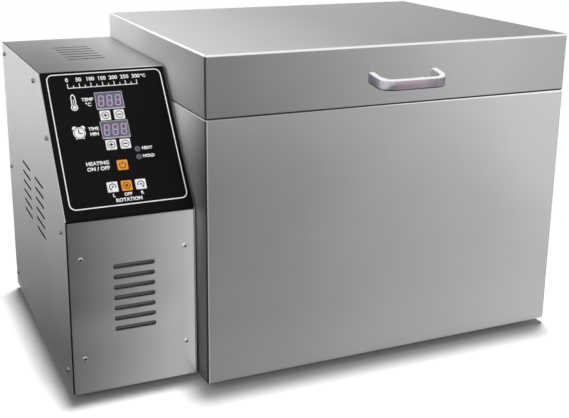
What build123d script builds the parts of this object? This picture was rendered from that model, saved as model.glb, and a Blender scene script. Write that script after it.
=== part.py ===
from build123d import *
import os
from math import cos, degrees, radians, sin

# Electric nut roaster: an insulated casing with a turning drum, a hinged lid and a control box on its left.
# Sizes are in millimetres. While modelling, x runs right from the casing's left side, y runs back from
# the casing's front and z runs up from the table. The finished pieces are then moved to a common origin.

# Casing
body_width = 500.0
body_depth = 412.0
body_height = 325.0
sheet = 1.2
fold_radius = 3.0
rim_width = 16.0
rim_edge_radius = 1.0
floor_lip = 14.0

# Feet
foot_height = 8.0
foot_radius = 12.0
foot_taper = 2.0
foot_inset = 45.0

# Lid
lid_height = 72.0
lid_gap = 2.0
lid_ceiling = 25.0
pan_inset = 32.0
pan_sheet = 1.0
pan_taper = 8.0
seal_inset = 5.0
seal_width = 9.0
seal_clearance = 0.3
blanket_gap = 1.0

# Handle on the lid: the bar drops and widens a little towards its front
handle_width = 94.0
handle_reach = 36.0
handle_bar = 7.5
handle_bend = 16.0
handle_shift = 2.5
handle_rise = 31.4
handle_root_height = 9.5
handle_front_height = 12.4
handle_drop = 2.1
handle_edge = 1.2

# Hinges behind the lid
hinge_spacing = 300.0
hinge_width = 70.0
leaf_height = 34.0
leaf_thickness = 2.0
hinge_offset = 5.2
knuckle_radius = 4.5
knuckle_gap = 0.4
hinge_pin_radius = 2.5
running_clearance = 0.05

# Chamber
wall = 28.0
liner_sheet = 1.0
liner_corner = 8.0
flange_lap = 6.0

# Heating elements and probe
element_rise = 14.0
element_radius = 4.0
element_side_gap = 68.0
element_middle_gap = 80.0
element_end_gap = 44.0
element_tail = 38.0
fitting_radius = 6.5
fitting_nose = 8.0
terminal_radius = 2.0
terminal_length = 12.0
bracket_setback = 100.0
bracket_sheet = 2.0
bracket_foot = 18.0
bracket_margin = 16.0
notch_clearance = 0.15
probe_setback = 32.0
probe_rise = 94.0
probe_radius = 2.5
probe_fitting_radius = 5.0
probe_reach = 80.0
probe_tail = 25.0
passage_gap = 0.2

# Drum and hatch
drum_floor_gap = 9.0
drum_top_gap = 16.0
drum_side_gap = 27.0
drum_left_gap = 34.0
drum_right_gap = 26.0
drum_sheet = 1.5
drum_end_sheet = 2.0
drum_end_lip = 12.0
mouth_half_angle = 24.0
hatch_lap = 8.0
hatch_lap_angle = 3.0
hatch_sheet = 1.2
hatch_clearance = 0.4
rail_angle = 3.5
rail_grip_angle = 2.0
rail_sheet = 1.4
rail_stop = 3.0
rail_inset = 3.0
knob_radius = 9.0
knob_height = 12.0
knob_neck_radius = 5.0
vane_height = 28.0
vane_foot = 12.0
vane_sheet = 1.5
vane_inset = 4.0
weld_gap = 0.1

# Drive line
shaft_radius = 6.0
sleeve_radius = 12.0
sleeve_wall = 2.0
fork_gap = 6.0
fork_radius = 22.0
fork_bore_depth = 9.0
tongue_thickness = 12.0
tongue_width = 38.0
tongue_flange_radius = 30.0
tongue_flange = 4.0
slide_clearance = 0.1
journal_radius = 8.0
journal_flange_radius = 30.0
journal_flange = 5.0
journal_end_gap = 1.0
saddle_width = 60.0
saddle_thickness = 14.0
saddle_drop = 46.0
saddle_rise = 18.0
bearing_length = 12.0
bearing_plate = 6.0
bearing_radius = 19.0
bearing_ear_radius = 9.0
bearing_ear_offset = 26.0
bearing_bolt_radius = 3.0
coupling_radius = 13.0
coupling_length = 30.0
coupling_gap = 4.0
motor_shaft_radius = 5.0
motor_shaft_depth = 20.0
case_gap = 6.0
case_radius = 35.0
case_length = 32.0
case_offset = 12.0
case_boss_radius = 15.0
case_boss = 3.0
case_lug_offset = 41.0
case_lug_radius = 8.0
case_lug_plate = 3.0
motor_radius = 33.0
motor_length = 44.0
motor_edge = 3.0
standoff_radius = 4.5

# Control box
control_width = 153.0
control_gap = 1.5
control_setback = 34.0
panel_foot_height = 214.0
panel_length = 188.4
panel_tilt = 37.2
control_fold_radius = 2.4
side_flange = 32.0
front_flange = 26.0
front_lip = 2.0
cover_gap = 0.8
spacer_width = 20.0
spacer_inset = 12.0
face_shift = 1.0

# Slots in the control box
front_slot_length = 50.0
front_slot_height = 6.0
front_slot_count = 7
front_slot_pitch = 12.95
front_slot_top = 153.5
side_slot_length = 53.0
side_slot_height = 3.4
side_slot_count = 6
side_slot_pitch = 13.1
side_slot_top = 219.5
side_slot_columns = (142.0, 228.0)
top_slot_length = 48.5
top_slot_width = 4.2
top_slot_count = 6
top_slot_pitch = 19.8
top_slot_setback = 81.7

# Panel screws
screw_radius = 1.5
screw_head_radius = 3.0
screw_head_height = 2.2
screw_dome = 1.2
screw_length = 6.0
screw_hole_gap = 0.1
front_screw_spacing = 124.4
front_screw_height = 123.0
front_screw_centre = 106.5
side_screw_inset = 15.0
side_screw_front = 23.0
side_screw_slant_inset = 17.0
side_screw_slant_run = 112.0
side_screw_top_setback = 34.5
side_screw_below_panel = 18.0
side_screw_low = 23.0
side_screw_middle = 186.0
rear_screw_inset = 9.0
rear_screw_margin = 30.0
rear_screw_count = 4

# Key panel: places are measured across from the panel's centre line and down from its top edge
film_thickness = 0.6
film_margin = 1.0
film_corner = 1.5
window_width = 33.0
window_height = 22.3
window_gap = 0.2
window_depth = 0.2
display_rows = (42.5, 80.6)
lamp_radius = 2.5
lamp_across = 21.6
lamp_rows = (108.1, 118.2)
lamp_rise = 0.9
key_size = 12.6
key_corner = 1.2
key_edge = 0.4
key_clearance = 0.3
key_rise = 1.4
key_travel = 0.5
key_flange = 1.0
key_flange_lap = 1.2
key_flange_gap = 0.4
key_stem_radius = 2.5
pair_half_pitch = 8.45
turn_pitch = 16.75
temperature_row = 61.9
time_row = 100.1
heat_row = 126.6
turn_row = 152.6

# Boards and switchgear
board_depth = 10.0
board_sheet = 1.6
board_side_margin = 17.0
board_top_margin = 20.0
board_bottom_margin = 18.0
stud_radius = 3.0
stud_inset = 6.0
switch_size = 6.0
switch_height = 3.5
plunger_radius = 1.75
plunger_height = 0.8
relay_width = 45.0
relay_height = 58.0
relay_thickness = 25.0
relay_base = 4.0
relay_lug = 8.0
relay_setback = 110.0
relay_rise = 110.0
block_width = 60.0
block_depth = 28.0
block_height = 20.0
block_setback = 70.0
block_ways = 6
block_groove = 2.0

# Cable gland at the back of the control box
gland_rise = 40.0
gland_spigot_radius = 10.0
gland_spigot = 12.0
gland_hex_radius = 14.0
gland_hex = 6.0
gland_dome_radius = 11.0
gland_reach = 22.0
gland_dome_taper = 3.0
gland_bore = 5.0
gland_nut_radius = 15.0
gland_nut_thickness = 5.0

# Places that follow from the sizes
base_z = foot_height
rim_z = base_z + body_height
lid_z = rim_z + lid_gap
lid_top_z = lid_z + lid_height
ceiling_z = lid_top_z - lid_ceiling
wrap_depth = body_depth - sheet
chamber_x = (wall, body_width - wall)
chamber_y = (wall, body_depth - wall)
chamber_floor = base_z + wall
liner_top = rim_z - sheet
element_z = chamber_floor + element_rise
hinge_y = body_depth + hinge_offset
hinge_z = rim_z + lid_gap / 2
hinge_centres = [body_width / 2 + side * hinge_spacing / 2 for side in (-1, 1)]

hatch_stack = 2 * hatch_clearance + hatch_sheet + knob_height
room_low = element_z + element_radius + drum_floor_gap
room_high = ceiling_z - drum_top_gap
room_deep = chamber_y[1] - chamber_y[0] - 2 * drum_side_gap
axis_y = body_depth / 2
axis_z = (room_low + room_high) / 2
drum_radius = min(room_high - room_low, room_deep) / 2 - hatch_stack
drum_x = (chamber_x[0] + drum_left_gap, chamber_x[1] - drum_right_gap)
rail_x = (drum_x[0] + rail_inset, drum_x[1] - rail_inset)
hatch_length = (rail_x[1] - rail_x[0] - 2 * rail_stop - 2 * hatch_clearance) / 2
hatch_x = (rail_x[0] + rail_stop + hatch_clearance, rail_x[0] + rail_stop + hatch_clearance + hatch_length)
mouth_x = (hatch_x[0] + hatch_lap, hatch_x[1] - hatch_lap)

control_right = -control_gap
control_left = control_right - control_width
control_mid = (control_left + control_right) / 2 + face_shift
inner_face = control_right - sheet
panel_foot_z = base_z + panel_foot_height
panel_top_y = control_setback + panel_length * sin(radians(panel_tilt))
control_top_z = panel_foot_z + panel_length * cos(radians(panel_tilt))
panel_out = (0, -cos(radians(panel_tilt)), sin(radians(panel_tilt)))
panel = Plane(origin=(control_mid, panel_top_y, control_top_z), x_dir=(1, 0, 0), z_dir=panel_out)

bearing_x = (inner_face - bearing_length, inner_face)
coupling_x = (bearing_x[0] - coupling_gap - coupling_length, bearing_x[0] - coupling_gap)
coupling_middle = (coupling_x[0] + coupling_x[1]) / 2
case_face = coupling_x[0] - case_gap
case_z = axis_z - case_offset
fork_start = wall + fork_gap
tongue_start = fork_start + fork_bore_depth + slide_clearance
gland_z = base_z + gland_rise

element_span = (chamber_y[1] - chamber_y[0] - 2 * element_side_gap - element_middle_gap) / 2
element_pitch = element_span + element_middle_gap
element_end = chamber_x[1] - element_end_gap
element_middles = [axis_y - element_pitch / 2, axis_y + element_pitch / 2]
element_legs = [middle + side * element_span / 2 for middle in element_middles for side in (-1, 1)]
probe_y = chamber_y[0] + probe_setback
probe_z = chamber_floor + probe_rise

keys = {
    "key_temperature_up": (-pair_half_pitch, temperature_row),
    "key_temperature_down": (pair_half_pitch, temperature_row),
    "key_time_up": (-pair_half_pitch, time_row),
    "key_time_down": (pair_half_pitch, time_row),
    "key_heat": (0.0, heat_row),
    "key_turn_left": (-turn_pitch, turn_row),
    "key_turn_stop": (0.0, turn_row),
    "key_turn_right": (turn_pitch, turn_row),
}

pieces = {}


def slab(x, y, z):
    """Block that spans three (low, high) pairs."""
    spans = (x, y, z)
    middle = [(low + high) / 2 for low, high in spans]
    size = [high - low for low, high in spans]
    return Pos(*middle) * Box(*size)


def rod_x(radius, x, y, z):
    """Round bar along x."""
    return Pos((x[0] + x[1]) / 2, y, z) * Rot(0, 90, 0) * Cylinder(radius, x[1] - x[0])


def rod_y(radius, x, y, z):
    """Round bar along y."""
    return Pos(x, (y[0] + y[1]) / 2, z) * Rot(90, 0, 0) * Cylinder(radius, y[1] - y[0])


def frame_plate(outer_inset, inner_inset, z):
    """Flat ring inside the casing's plan, between two insets."""
    outer = slab((outer_inset, body_width - outer_inset), (outer_inset, body_depth - outer_inset), z)
    inner = slab((inner_inset, body_width - inner_inset), (inner_inset, body_depth - inner_inset), z)
    return outer - inner


def sector(radii, angles, x):
    """Curved bar along x about the drum's axis, with its angles counted from straight up."""
    def at(radius, angle):
        return axis_y + radius * sin(radians(angle)), axis_z + radius * cos(radians(angle))

    inner, outer = radii
    start, end = angles
    middle = (start + end) / 2
    outline = [
        ThreePointArc(at(inner, start), at(inner, middle), at(inner, end)),
        Line(at(inner, end), at(outer, end)),
        ThreePointArc(at(outer, end), at(outer, middle), at(outer, start)),
        Line(at(outer, start), at(inner, start)),
    ]
    face = Plane.YZ.offset(x[0]) * make_face(outline)
    return extrude(face, x[1] - x[0], dir=(1, 0, 0))


def wall_passages():
    """Round ways through the oven's left wall and the control box's inner wall."""
    span = (inner_face - sheet, wall + sheet)
    rods = [rod_x(sleeve_radius + passage_gap, span, axis_y, axis_z)]
    for leg in element_legs:
        rods.append(rod_x(fitting_radius + passage_gap, span, leg, element_z))
    rods.append(rod_x(probe_fitting_radius + passage_gap, span, probe_y, probe_z))
    return rods


def side_screw_places():
    """Places (y, z) of the screws in the control box's side cover."""
    tilt = radians(panel_tilt)
    back = body_depth - side_screw_inset
    slant_y = control_setback + side_screw_slant_run * sin(tilt) + side_screw_slant_inset * cos(tilt)
    slant_z = panel_foot_z + side_screw_slant_run * cos(tilt) - side_screw_slant_inset * sin(tilt)
    return [
        (back, base_z + side_screw_low),
        (back, base_z + side_screw_middle),
        (back, control_top_z - side_screw_inset),
        (panel_top_y + side_screw_top_setback, control_top_z - side_screw_inset),
        (slant_y, slant_z),
        (control_setback + side_screw_front, panel_foot_z - side_screw_below_panel),
        (control_setback + side_screw_front, base_z + side_screw_low),
    ]


def front_screw_places():
    """Places (x, z) of the screws in the control box's lower front cover."""
    centre = base_z + front_screw_centre
    return [
        (control_mid + side * front_screw_spacing / 2, centre + level * front_screw_height / 2)
        for side in (-1, 1)
        for level in (-1, 1)
    ]


def rear_screw_places():
    """Places (x, z) of the screws down both edges of the casing's rear panel."""
    step = (body_height - 2 * rear_screw_margin) / (rear_screw_count - 1)
    heights = [base_z + rear_screw_margin + row * step for row in range(rear_screw_count)]
    return [(x, z) for x in (rear_screw_inset, body_width - rear_screw_inset) for z in heights]


def screw_planes():
    """Seat of every panel screw, with its head outwards."""
    seats = [Plane(origin=(control_left, y, z), z_dir=(-1, 0, 0)) for y, z in side_screw_places()]
    seats += [Plane(origin=(x, control_setback, z), z_dir=(0, -1, 0)) for x, z in front_screw_places()]
    seats += [Plane(origin=(x, body_depth, z), z_dir=(0, 1, 0)) for x, z in rear_screw_places()]
    return seats


def screw_holes():
    """Shank clearance of every panel screw."""
    reach = 2 * screw_length
    return [seat * Cylinder(screw_radius + screw_hole_gap, reach) for seat in screw_planes()]


def panel_screws():
    screws = []
    for seat in screw_planes():
        head = Pos(0, 0, screw_head_height / 2) * Cylinder(screw_head_radius, screw_head_height)
        head = fillet(head.edges().sort_by(Axis.Z)[-1], screw_dome)
        shank = Pos(0, 0, -screw_length / 2) * Cylinder(screw_radius, screw_length)
        screws.append(seat * (head + shank))
    return screws


def casing_wrap():
    """Front and both sides in one folded sheet, with a rim at the top and returns at the back."""
    block = slab((0, body_width), (0, wrap_depth), (base_z, rim_z))
    front_folds = block.edges().filter_by(Axis.Z).sort_by(Axis.Y)[:2]
    block = fillet(front_folds, fold_radius)
    rim_edges = [
        edge
        for edge in block.edges().group_by(Axis.Z)[-1]
        if edge.center().Y < wrap_depth - rim_edge_radius
    ]
    block = fillet(rim_edges, rim_edge_radius)
    room = slab((sheet, body_width - sheet), (sheet, wrap_depth), (base_z, rim_z - sheet))
    inside_folds = room.edges().filter_by(Axis.Z).sort_by(Axis.Y)[:2]
    room = fillet(inside_folds, fold_radius - sheet)
    throat = slab((rim_width, body_width - rim_width), (rim_width, wrap_depth), (rim_z - sheet, rim_z))
    wrap = block - room - throat
    for low in (sheet, body_width - rim_width):
        across = (low, low + rim_width - sheet)
        wrap += slab(across, (wrap_depth - sheet, wrap_depth), (base_z, rim_z - sheet))
    return wrap - wall_passages() - screw_holes()


def casing_floor():
    """Floor pan with an upturned lip all round."""
    across = (sheet, body_width - sheet)
    along = (sheet, wrap_depth - sheet)
    pan = slab(across, along, (base_z, base_z + floor_lip))
    front_folds = pan.edges().filter_by(Axis.Z).sort_by(Axis.Y)[:2]
    pan = fillet(front_folds, fold_radius - sheet)
    inside_x = (across[0] + sheet, across[1] - sheet)
    inside_y = (along[0] + sheet, along[1] - sheet)
    room = slab(inside_x, inside_y, (base_z + sheet, base_z + floor_lip))
    inside_folds = room.edges().filter_by(Axis.Z).sort_by(Axis.Y)[:2]
    return pan - fillet(inside_folds, fold_radius - 2 * sheet)


def casing_rear():
    """Rear panel, with the back stretch of the rim folded forward at its top."""
    plate = slab((0, body_width), (wrap_depth, body_depth), (base_z, rim_z))
    across = (rim_width, body_width - rim_width)
    plate += slab(across, (body_depth - rim_width, body_depth), (rim_z - sheet, rim_z))
    return plate - screw_holes()


def feet():
    """Rubber feet under the casing and under the control box."""
    low_radius = foot_radius - foot_taper
    foot = Pos(0, 0, foot_height / 2) * Cone(low_radius, foot_radius, foot_height)
    places = [
        (x, y)
        for x in (foot_inset, body_width - foot_inset, control_left + foot_inset)
        for y in (control_setback + foot_inset, body_depth - foot_inset)
    ]
    return [Pos(x, y, 0) * foot for x, y in places]


def liner_block():
    """Outside of the chamber liner below its flange."""
    span_x = (chamber_x[0] - liner_sheet, chamber_x[1] + liner_sheet)
    span_y = (chamber_y[0] - liner_sheet, chamber_y[1] + liner_sheet)
    block = slab(span_x, span_y, (chamber_floor - liner_sheet, liner_top))
    return fillet(block.edges().filter_by(Axis.Z), liner_corner + liner_sheet)


def chamber_liner():
    """Open-topped inner box that hangs by its flange under the casing's rim."""
    room = slab(chamber_x, chamber_y, (chamber_floor, liner_top))
    room = fillet(room.edges().filter_by(Axis.Z), liner_corner)
    flange = frame_plate(rim_width - flange_lap, wall - liner_sheet, (liner_top - liner_sheet, liner_top))
    return liner_block() + flange - room - wall_passages()


def wall_insulation():
    """Mineral blanket between the liner and the casing."""
    pad = 2 * sheet + blanket_gap
    across = (pad, body_width - pad)
    along = (pad, wrap_depth - pad)
    block = slab(across, along, (base_z + sheet, liner_top - liner_sheet))
    return block - liner_block() - wall_passages() - screw_holes()


def lid_block(inset, bottom, top):
    """Outside of the lid, or the room inside it, with rounded upright and top edges."""
    span_x = (inset, body_width - inset)
    span_y = (inset, body_depth - inset)
    block = slab(span_x, span_y, (bottom, top))
    rounded = block.edges().filter_by(Axis.Z) + block.edges().group_by(Axis.Z)[-1]
    return fillet(rounded, fold_radius - inset)


def lid_shell():
    """Outer lid with a flange folded in along its lower edge."""
    shell = lid_block(0, lid_z, lid_top_z) - lid_block(sheet, lid_z, lid_top_z - sheet)
    flange = lid_block(0, lid_z, lid_top_z) & frame_plate(0, rim_width, (lid_z, lid_z + sheet))
    return shell + flange


def pan_block(inset, top):
    """Tapered block from the lid's flange up to the given height."""
    start = lid_z + sheet
    mouth = Rectangle(body_width - 2 * inset, body_depth - 2 * inset)
    face = Pos(body_width / 2, body_depth / 2, start) * mouth
    return extrude(face, top - start, taper=pan_taper)


def lid_pan():
    """Inner lid: a shallow dish whose flange lies on the lid's own."""
    start = lid_z + sheet
    flange = frame_plate(rim_width - flange_lap, pan_inset, (start, start + pan_sheet))
    return pan_block(pan_inset - pan_sheet, ceiling_z + pan_sheet) + flange - pan_block(pan_inset, ceiling_z)


def lid_insulation():
    """Mineral blanket between the lid and its pan."""
    pad = sheet + blanket_gap
    start = lid_z + sheet + pan_sheet
    block = lid_block(pad, start, lid_top_z - pad)
    return block - pan_block(pan_inset - pan_sheet, ceiling_z + pan_sheet)


def lid_seal():
    """Flat silicone ring under the lid's flange."""
    return frame_plate(seal_inset, seal_inset + seal_width, (rim_z + seal_clearance, lid_z))


def handle():
    """D handle of flat bar on the lid's front."""
    centre = body_width / 2 + handle_shift
    root_z = lid_z + handle_rise
    tall = (root_z - handle_front_height - handle_drop, root_z + handle_front_height)
    half = handle_width / 2
    bar = slab((centre - half, centre + half), (-handle_reach, 0), tall)
    bar = fillet(bar.edges().filter_by(Axis.Z).sort_by(Axis.Y)[:2], handle_bend)
    half -= handle_bar
    gap = slab((centre - half, centre + half), (handle_bar - handle_reach, 0), tall)
    gap = fillet(gap.edges().filter_by(Axis.Z).sort_by(Axis.Y)[:2], handle_bend - handle_bar)
    front_z = root_z - handle_drop
    side = Polyline(
        (0, root_z - handle_root_height / 2),
        (0, root_z + handle_root_height / 2),
        (-handle_reach, front_z + handle_front_height / 2),
        (-handle_reach, front_z - handle_front_height / 2),
        close=True,
    )
    side_face = Plane.YZ.offset(centre - handle_width) * make_face(side)
    shape = (bar - gap) & extrude(side_face, 2 * handle_width, dir=(1, 0, 0))
    outside = [edge for edge in shape.edges() if edge.bounding_box().min.Y < -handle_edge]
    long_edges = [edge for edge in outside if abs(edge.bounding_box().max.X - edge.bounding_box().min.X) > 0]
    return fillet(long_edges, handle_edge)


def knuckle(x, bore):
    """Rolled eye of a hinge leaf."""
    return rod_x(knuckle_radius, x, hinge_y, hinge_z) - rod_x(bore, x, hinge_y, hinge_z)


def hinge_body_leaves():
    """Fixed hinge leaves on the rear panel, each with an eye at both ends."""
    leaves = []
    for centre in hinge_centres:
        ends = (centre - hinge_width / 2, centre + hinge_width / 2)
        inner = (centre - hinge_width / 6, centre + hinge_width / 6)
        on_wall = (body_depth, body_depth + leaf_thickness)
        leaf = slab(ends, on_wall, (hinge_z - leaf_height, hinge_z))
        low = hinge_z - knuckle_radius - knuckle_gap
        leaf -= slab(inner, on_wall, (low, hinge_z))
        for x in ((ends[0], inner[0]), (inner[1], ends[1])):
            leaf += rod_x(knuckle_radius, x, hinge_y, hinge_z)
        leaves.append(leaf - rod_x(hinge_pin_radius, ends, hinge_y, hinge_z))
    return leaves


def hinge_lid_leaves():
    """Moving hinge leaves on the back of the lid, each with one eye in the middle."""
    leaves = []
    for centre in hinge_centres:
        ends = (centre - hinge_width / 2, centre + hinge_width / 2)
        eye = (centre - hinge_width / 6 + knuckle_gap, centre + hinge_width / 6 - knuckle_gap)
        on_wall = (body_depth, body_depth + leaf_thickness)
        high = hinge_z + knuckle_radius + knuckle_gap
        leaf = slab(ends, on_wall, (high, hinge_z + leaf_height))
        leaf += slab(eye, on_wall, (hinge_z, hinge_z + leaf_height))
        leaf += rod_x(knuckle_radius, eye, hinge_y, hinge_z)
        leaves.append(leaf - rod_x(hinge_pin_radius + running_clearance, ends, hinge_y, hinge_z))
    return leaves


def hinge_pins():
    """Pins through both hinges."""
    half = hinge_width / 2
    pins = [rod_x(hinge_pin_radius, (x - half, x + half), hinge_y, hinge_z) for x in hinge_centres]
    return pins


def heating_element(middle):
    """U-shaped tubular element with a brazed fitting and a terminal on each leg."""
    start = inner_face - element_tail
    bend = element_end - element_span / 2
    legs = (middle - element_span / 2, middle + element_span / 2)
    path = Wire(
        [
            Line((start, legs[0], element_z), (bend, legs[0], element_z)),
            ThreePointArc(
                (bend, legs[0], element_z),
                (bend + element_span / 2, middle, element_z),
                (bend, legs[1], element_z),
            ),
            Line((bend, legs[1], element_z), (start, legs[1], element_z)),
        ]
    )
    section = Plane(origin=(start, legs[0], element_z), z_dir=(1, 0, 0)) * Circle(element_radius)
    element = sweep(section, path=path)
    for leg in legs:
        element += rod_x(fitting_radius, (inner_face - fitting_nose, wall + fitting_nose), leg, element_z)
        element += rod_x(terminal_radius, (start - terminal_length, start), leg, element_z)
    return element


def element_bracket():
    """Notched angle on the chamber floor that carries the elements near their bends."""
    start = element_end - bracket_setback
    along = (min(element_legs) - bracket_margin, max(element_legs) + bracket_margin)
    web = slab((start, start + bracket_sheet), along, (chamber_floor, element_z))
    foot = slab((start, start + bracket_foot), along, (chamber_floor, chamber_floor + bracket_sheet))
    reach = (start - bracket_foot, start + bracket_foot)
    notches = [rod_x(element_radius + notch_clearance, reach, leg, element_z) for leg in element_legs]
    return web + foot - notches


def temperature_probe():
    """Probe rod with its fitting through the left wall."""
    rod = rod_x(probe_radius, (inner_face - probe_tail, wall + probe_reach), probe_y, probe_z)
    rod = fillet(rod.edges().sort_by(Axis.X)[-1], probe_radius / 2)
    fitting = (inner_face - fitting_nose, wall + fitting_nose)
    return rod + rod_x(probe_fitting_radius, fitting, probe_y, probe_z)


def drum_shell():
    """Rolled drum with its loading mouth at the top."""
    drum = rod_x(drum_radius, drum_x, axis_y, axis_z)
    drum -= rod_x(drum_radius - drum_sheet, drum_x, axis_y, axis_z)
    around = (drum_radius - 2 * drum_sheet, drum_radius + drum_sheet)
    return drum - sector(around, (-mouth_half_angle, mouth_half_angle), mouth_x)


def drum_ends():
    """Dished end plates inside the drum."""
    outer = drum_radius - drum_sheet
    ends = []
    for face, inward in ((drum_x[0], 1), (drum_x[1], -1)):
        lip = sorted((face, face + inward * drum_end_lip))
        hollow = sorted((face + inward * drum_end_sheet, face + inward * drum_end_lip))
        end = rod_x(outer, lip, axis_y, axis_z) - rod_x(outer - drum_end_sheet, hollow, axis_y, axis_z)
        ends.append(end)
    return ends


def lifting_vanes():
    """Angle strips along the inside of the drum that lift and turn the nuts."""
    outer = drum_radius - drum_sheet - weld_gap
    margin = drum_end_lip + vane_inset
    along = (drum_x[0] + margin, drum_x[1] - margin)
    foot_angle = degrees(vane_foot / outer)
    blade_angle = degrees(vane_sheet / outer)
    vanes = []
    for turn in (90, 180, 270):
        foot = sector((outer - vane_sheet, outer), (turn, turn + foot_angle), along)
        blade = sector((outer - vane_height, outer), (turn, turn + blade_angle), along)
        vanes.append(foot + blade)
    return vanes


def hatch_rails():
    """Two stepped rails that hold the hatch on the drum, joined by a stop at each end."""
    bed = mouth_half_angle + hatch_lap_angle + rail_grip_angle / 4
    edge = bed + rail_angle
    under = drum_radius + 2 * hatch_clearance + hatch_sheet
    top = under + rail_sheet
    grip = bed - rail_grip_angle
    rails = sector((drum_radius, top), (bed, edge), rail_x) + sector((under, top), (grip, edge), rail_x)
    rails += sector((drum_radius, top), (-edge, -bed), rail_x)
    rails += sector((under, top), (-edge, -grip), rail_x)
    for stop in ((rail_x[0], rail_x[0] + rail_stop), (rail_x[1] - rail_stop, rail_x[1])):
        rails += sector((drum_radius, under), (-edge, edge), stop)
    return rails


def drum_hatch():
    """Curved cover that slides along the drum over its mouth."""
    inner = drum_radius + hatch_clearance
    half = mouth_half_angle + hatch_lap_angle
    return sector((inner, inner + hatch_sheet), (-half, half), hatch_x)


def hatch_knob():
    """Turned knob on the hatch."""
    middle = (hatch_x[0] + hatch_x[1]) / 2
    foot = axis_z + drum_radius + hatch_clearance + hatch_sheet
    neck = knob_height / 2
    knob = Pos(0, 0, neck / 2) * Cylinder(knob_neck_radius, neck)
    head = Pos(0, 0, neck * 1.5) * Cylinder(knob_radius, neck)
    head = fillet(head.edges(), neck / 4)
    knob = Pos(middle, axis_y, foot) * (knob + head)
    return knob - rod_x(drum_radius + hatch_clearance + hatch_sheet, hatch_x, axis_y, axis_z)


def drum_tongue():
    """Flat tongue on the drum's left end that drops into the drive fork."""
    seat = drum_x[0]
    flange = rod_x(tongue_flange_radius, (seat - tongue_flange, seat), axis_y, axis_z)
    half_t = tongue_thickness / 2
    half_w = tongue_width / 2
    blade = slab((tongue_start, seat), (axis_y - half_t, axis_y + half_t), (axis_z - half_w, axis_z + half_w))
    return flange + blade


def drum_journal():
    """Stub shaft on the drum's right end."""
    seat = drum_x[1]
    flange = rod_x(journal_flange_radius, (seat, seat + journal_flange), axis_y, axis_z)
    end = chamber_x[1] - journal_end_gap
    stub = rod_x(journal_radius, (seat, end), axis_y, axis_z)
    return flange + stub


def drum_saddle():
    """Block on the right wall with a slot open upwards, so the drum lifts out."""
    thick = (chamber_x[1] - saddle_thickness, chamber_x[1])
    half = saddle_width / 2
    block = slab(thick, (axis_y - half, axis_y + half), (axis_z - saddle_drop, axis_z + saddle_rise))
    bore = journal_radius + running_clearance
    slot = rod_x(bore, thick, axis_y, axis_z)
    slot += slab(thick, (axis_y - bore, axis_y + bore), (axis_z, axis_z + saddle_rise))
    return block - slot


def drive_fork():
    """Hub on the drive shaft with a slot across its face for the drum's tongue."""
    end = drum_x[0] - tongue_flange - slide_clearance
    hub = rod_x(fork_radius, (fork_start, end), axis_y, axis_z)
    half = tongue_thickness / 2 + slide_clearance
    floor = fork_start + fork_bore_depth
    slot = slab((floor, end), (axis_y - half, axis_y + half), (axis_z - fork_radius, axis_z + fork_radius))
    return hub - slot - rod_x(shaft_radius, (fork_start, floor), axis_y, axis_z)


def drive_shaft():
    return rod_x(shaft_radius, (coupling_middle, fork_start + fork_bore_depth), axis_y, axis_z)


def shaft_coupling():
    """Clamp coupling between the motor shaft and the drive shaft."""
    body = rod_x(coupling_radius, coupling_x, axis_y, axis_z)
    body -= rod_x(motor_shaft_radius, (coupling_x[0], coupling_middle), axis_y, axis_z)
    return body - rod_x(shaft_radius, (coupling_middle, coupling_x[1]), axis_y, axis_z)


def motor_shaft():
    return rod_x(motor_shaft_radius, (case_face - motor_shaft_depth, coupling_middle), axis_y, axis_z)


def shaft_sleeve():
    """Tube that keeps the wall blanket off the drive shaft."""
    span = (inner_face, wall)
    bore = sleeve_radius - sleeve_wall
    return rod_x(sleeve_radius, span, axis_y, axis_z) - rod_x(bore, span, axis_y, axis_z)


def ear_plate(middle_radius, ear_offset, ear_radius, x, z):
    """Plate across the x axis: a round middle with an ear on each side."""
    middle = Circle(middle_radius)
    ears = [Pos(side * ear_offset, 0) * Circle(ear_radius) for side in (-1, 1)]
    outline = make_hull(middle.edges() + ears[0].edges() + ears[1].edges())
    face = Plane(origin=(x[0], axis_y, z), x_dir=(0, 1, 0), z_dir=(1, 0, 0)) * outline
    return extrude(face, x[1] - x[0], dir=(1, 0, 0))


def drum_bearing():
    """Two-bolt flange bearing on the control box's inner wall."""
    plate_x = (inner_face - bearing_plate, inner_face)
    bearing = ear_plate(bearing_radius, bearing_ear_offset, bearing_ear_radius, plate_x, axis_z)
    bearing += rod_x(bearing_radius, bearing_x, axis_y, axis_z)
    for side in (-1, 1):
        bearing -= rod_x(bearing_bolt_radius, plate_x, axis_y + side * bearing_ear_offset, axis_z)
    return bearing - rod_x(shaft_radius + running_clearance, bearing_x, axis_y, axis_z)


def gear_case():
    """Round gear case with two ears and an off-centre output boss."""
    plate_x = (case_face - case_lug_plate, case_face)
    case = ear_plate(case_radius, case_lug_offset, case_lug_radius, plate_x, case_z)
    case += rod_x(case_radius, (case_face - case_length, case_face), axis_y, case_z)
    case += rod_x(case_boss_radius, (case_face, case_face + case_boss), axis_y, axis_z)
    bore = (case_face - motor_shaft_depth - slide_clearance, case_face + case_boss)
    return case - rod_x(motor_shaft_radius + running_clearance, bore, axis_y, axis_z)


def motor():
    """Synchronous motor can behind the gear case."""
    back = case_face - case_length
    can = rod_x(motor_radius, (back - motor_length, back), axis_y, case_z)
    return fillet(can.edges().sort_by(Axis.X)[0], motor_edge)


def motor_standoffs():
    """Pillars that carry the gear case off the inner wall."""
    span = (case_face, inner_face)
    pillars = [rod_x(standoff_radius, span, axis_y + side * case_lug_offset, case_z) for side in (-1, 1)]
    return pillars


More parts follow.
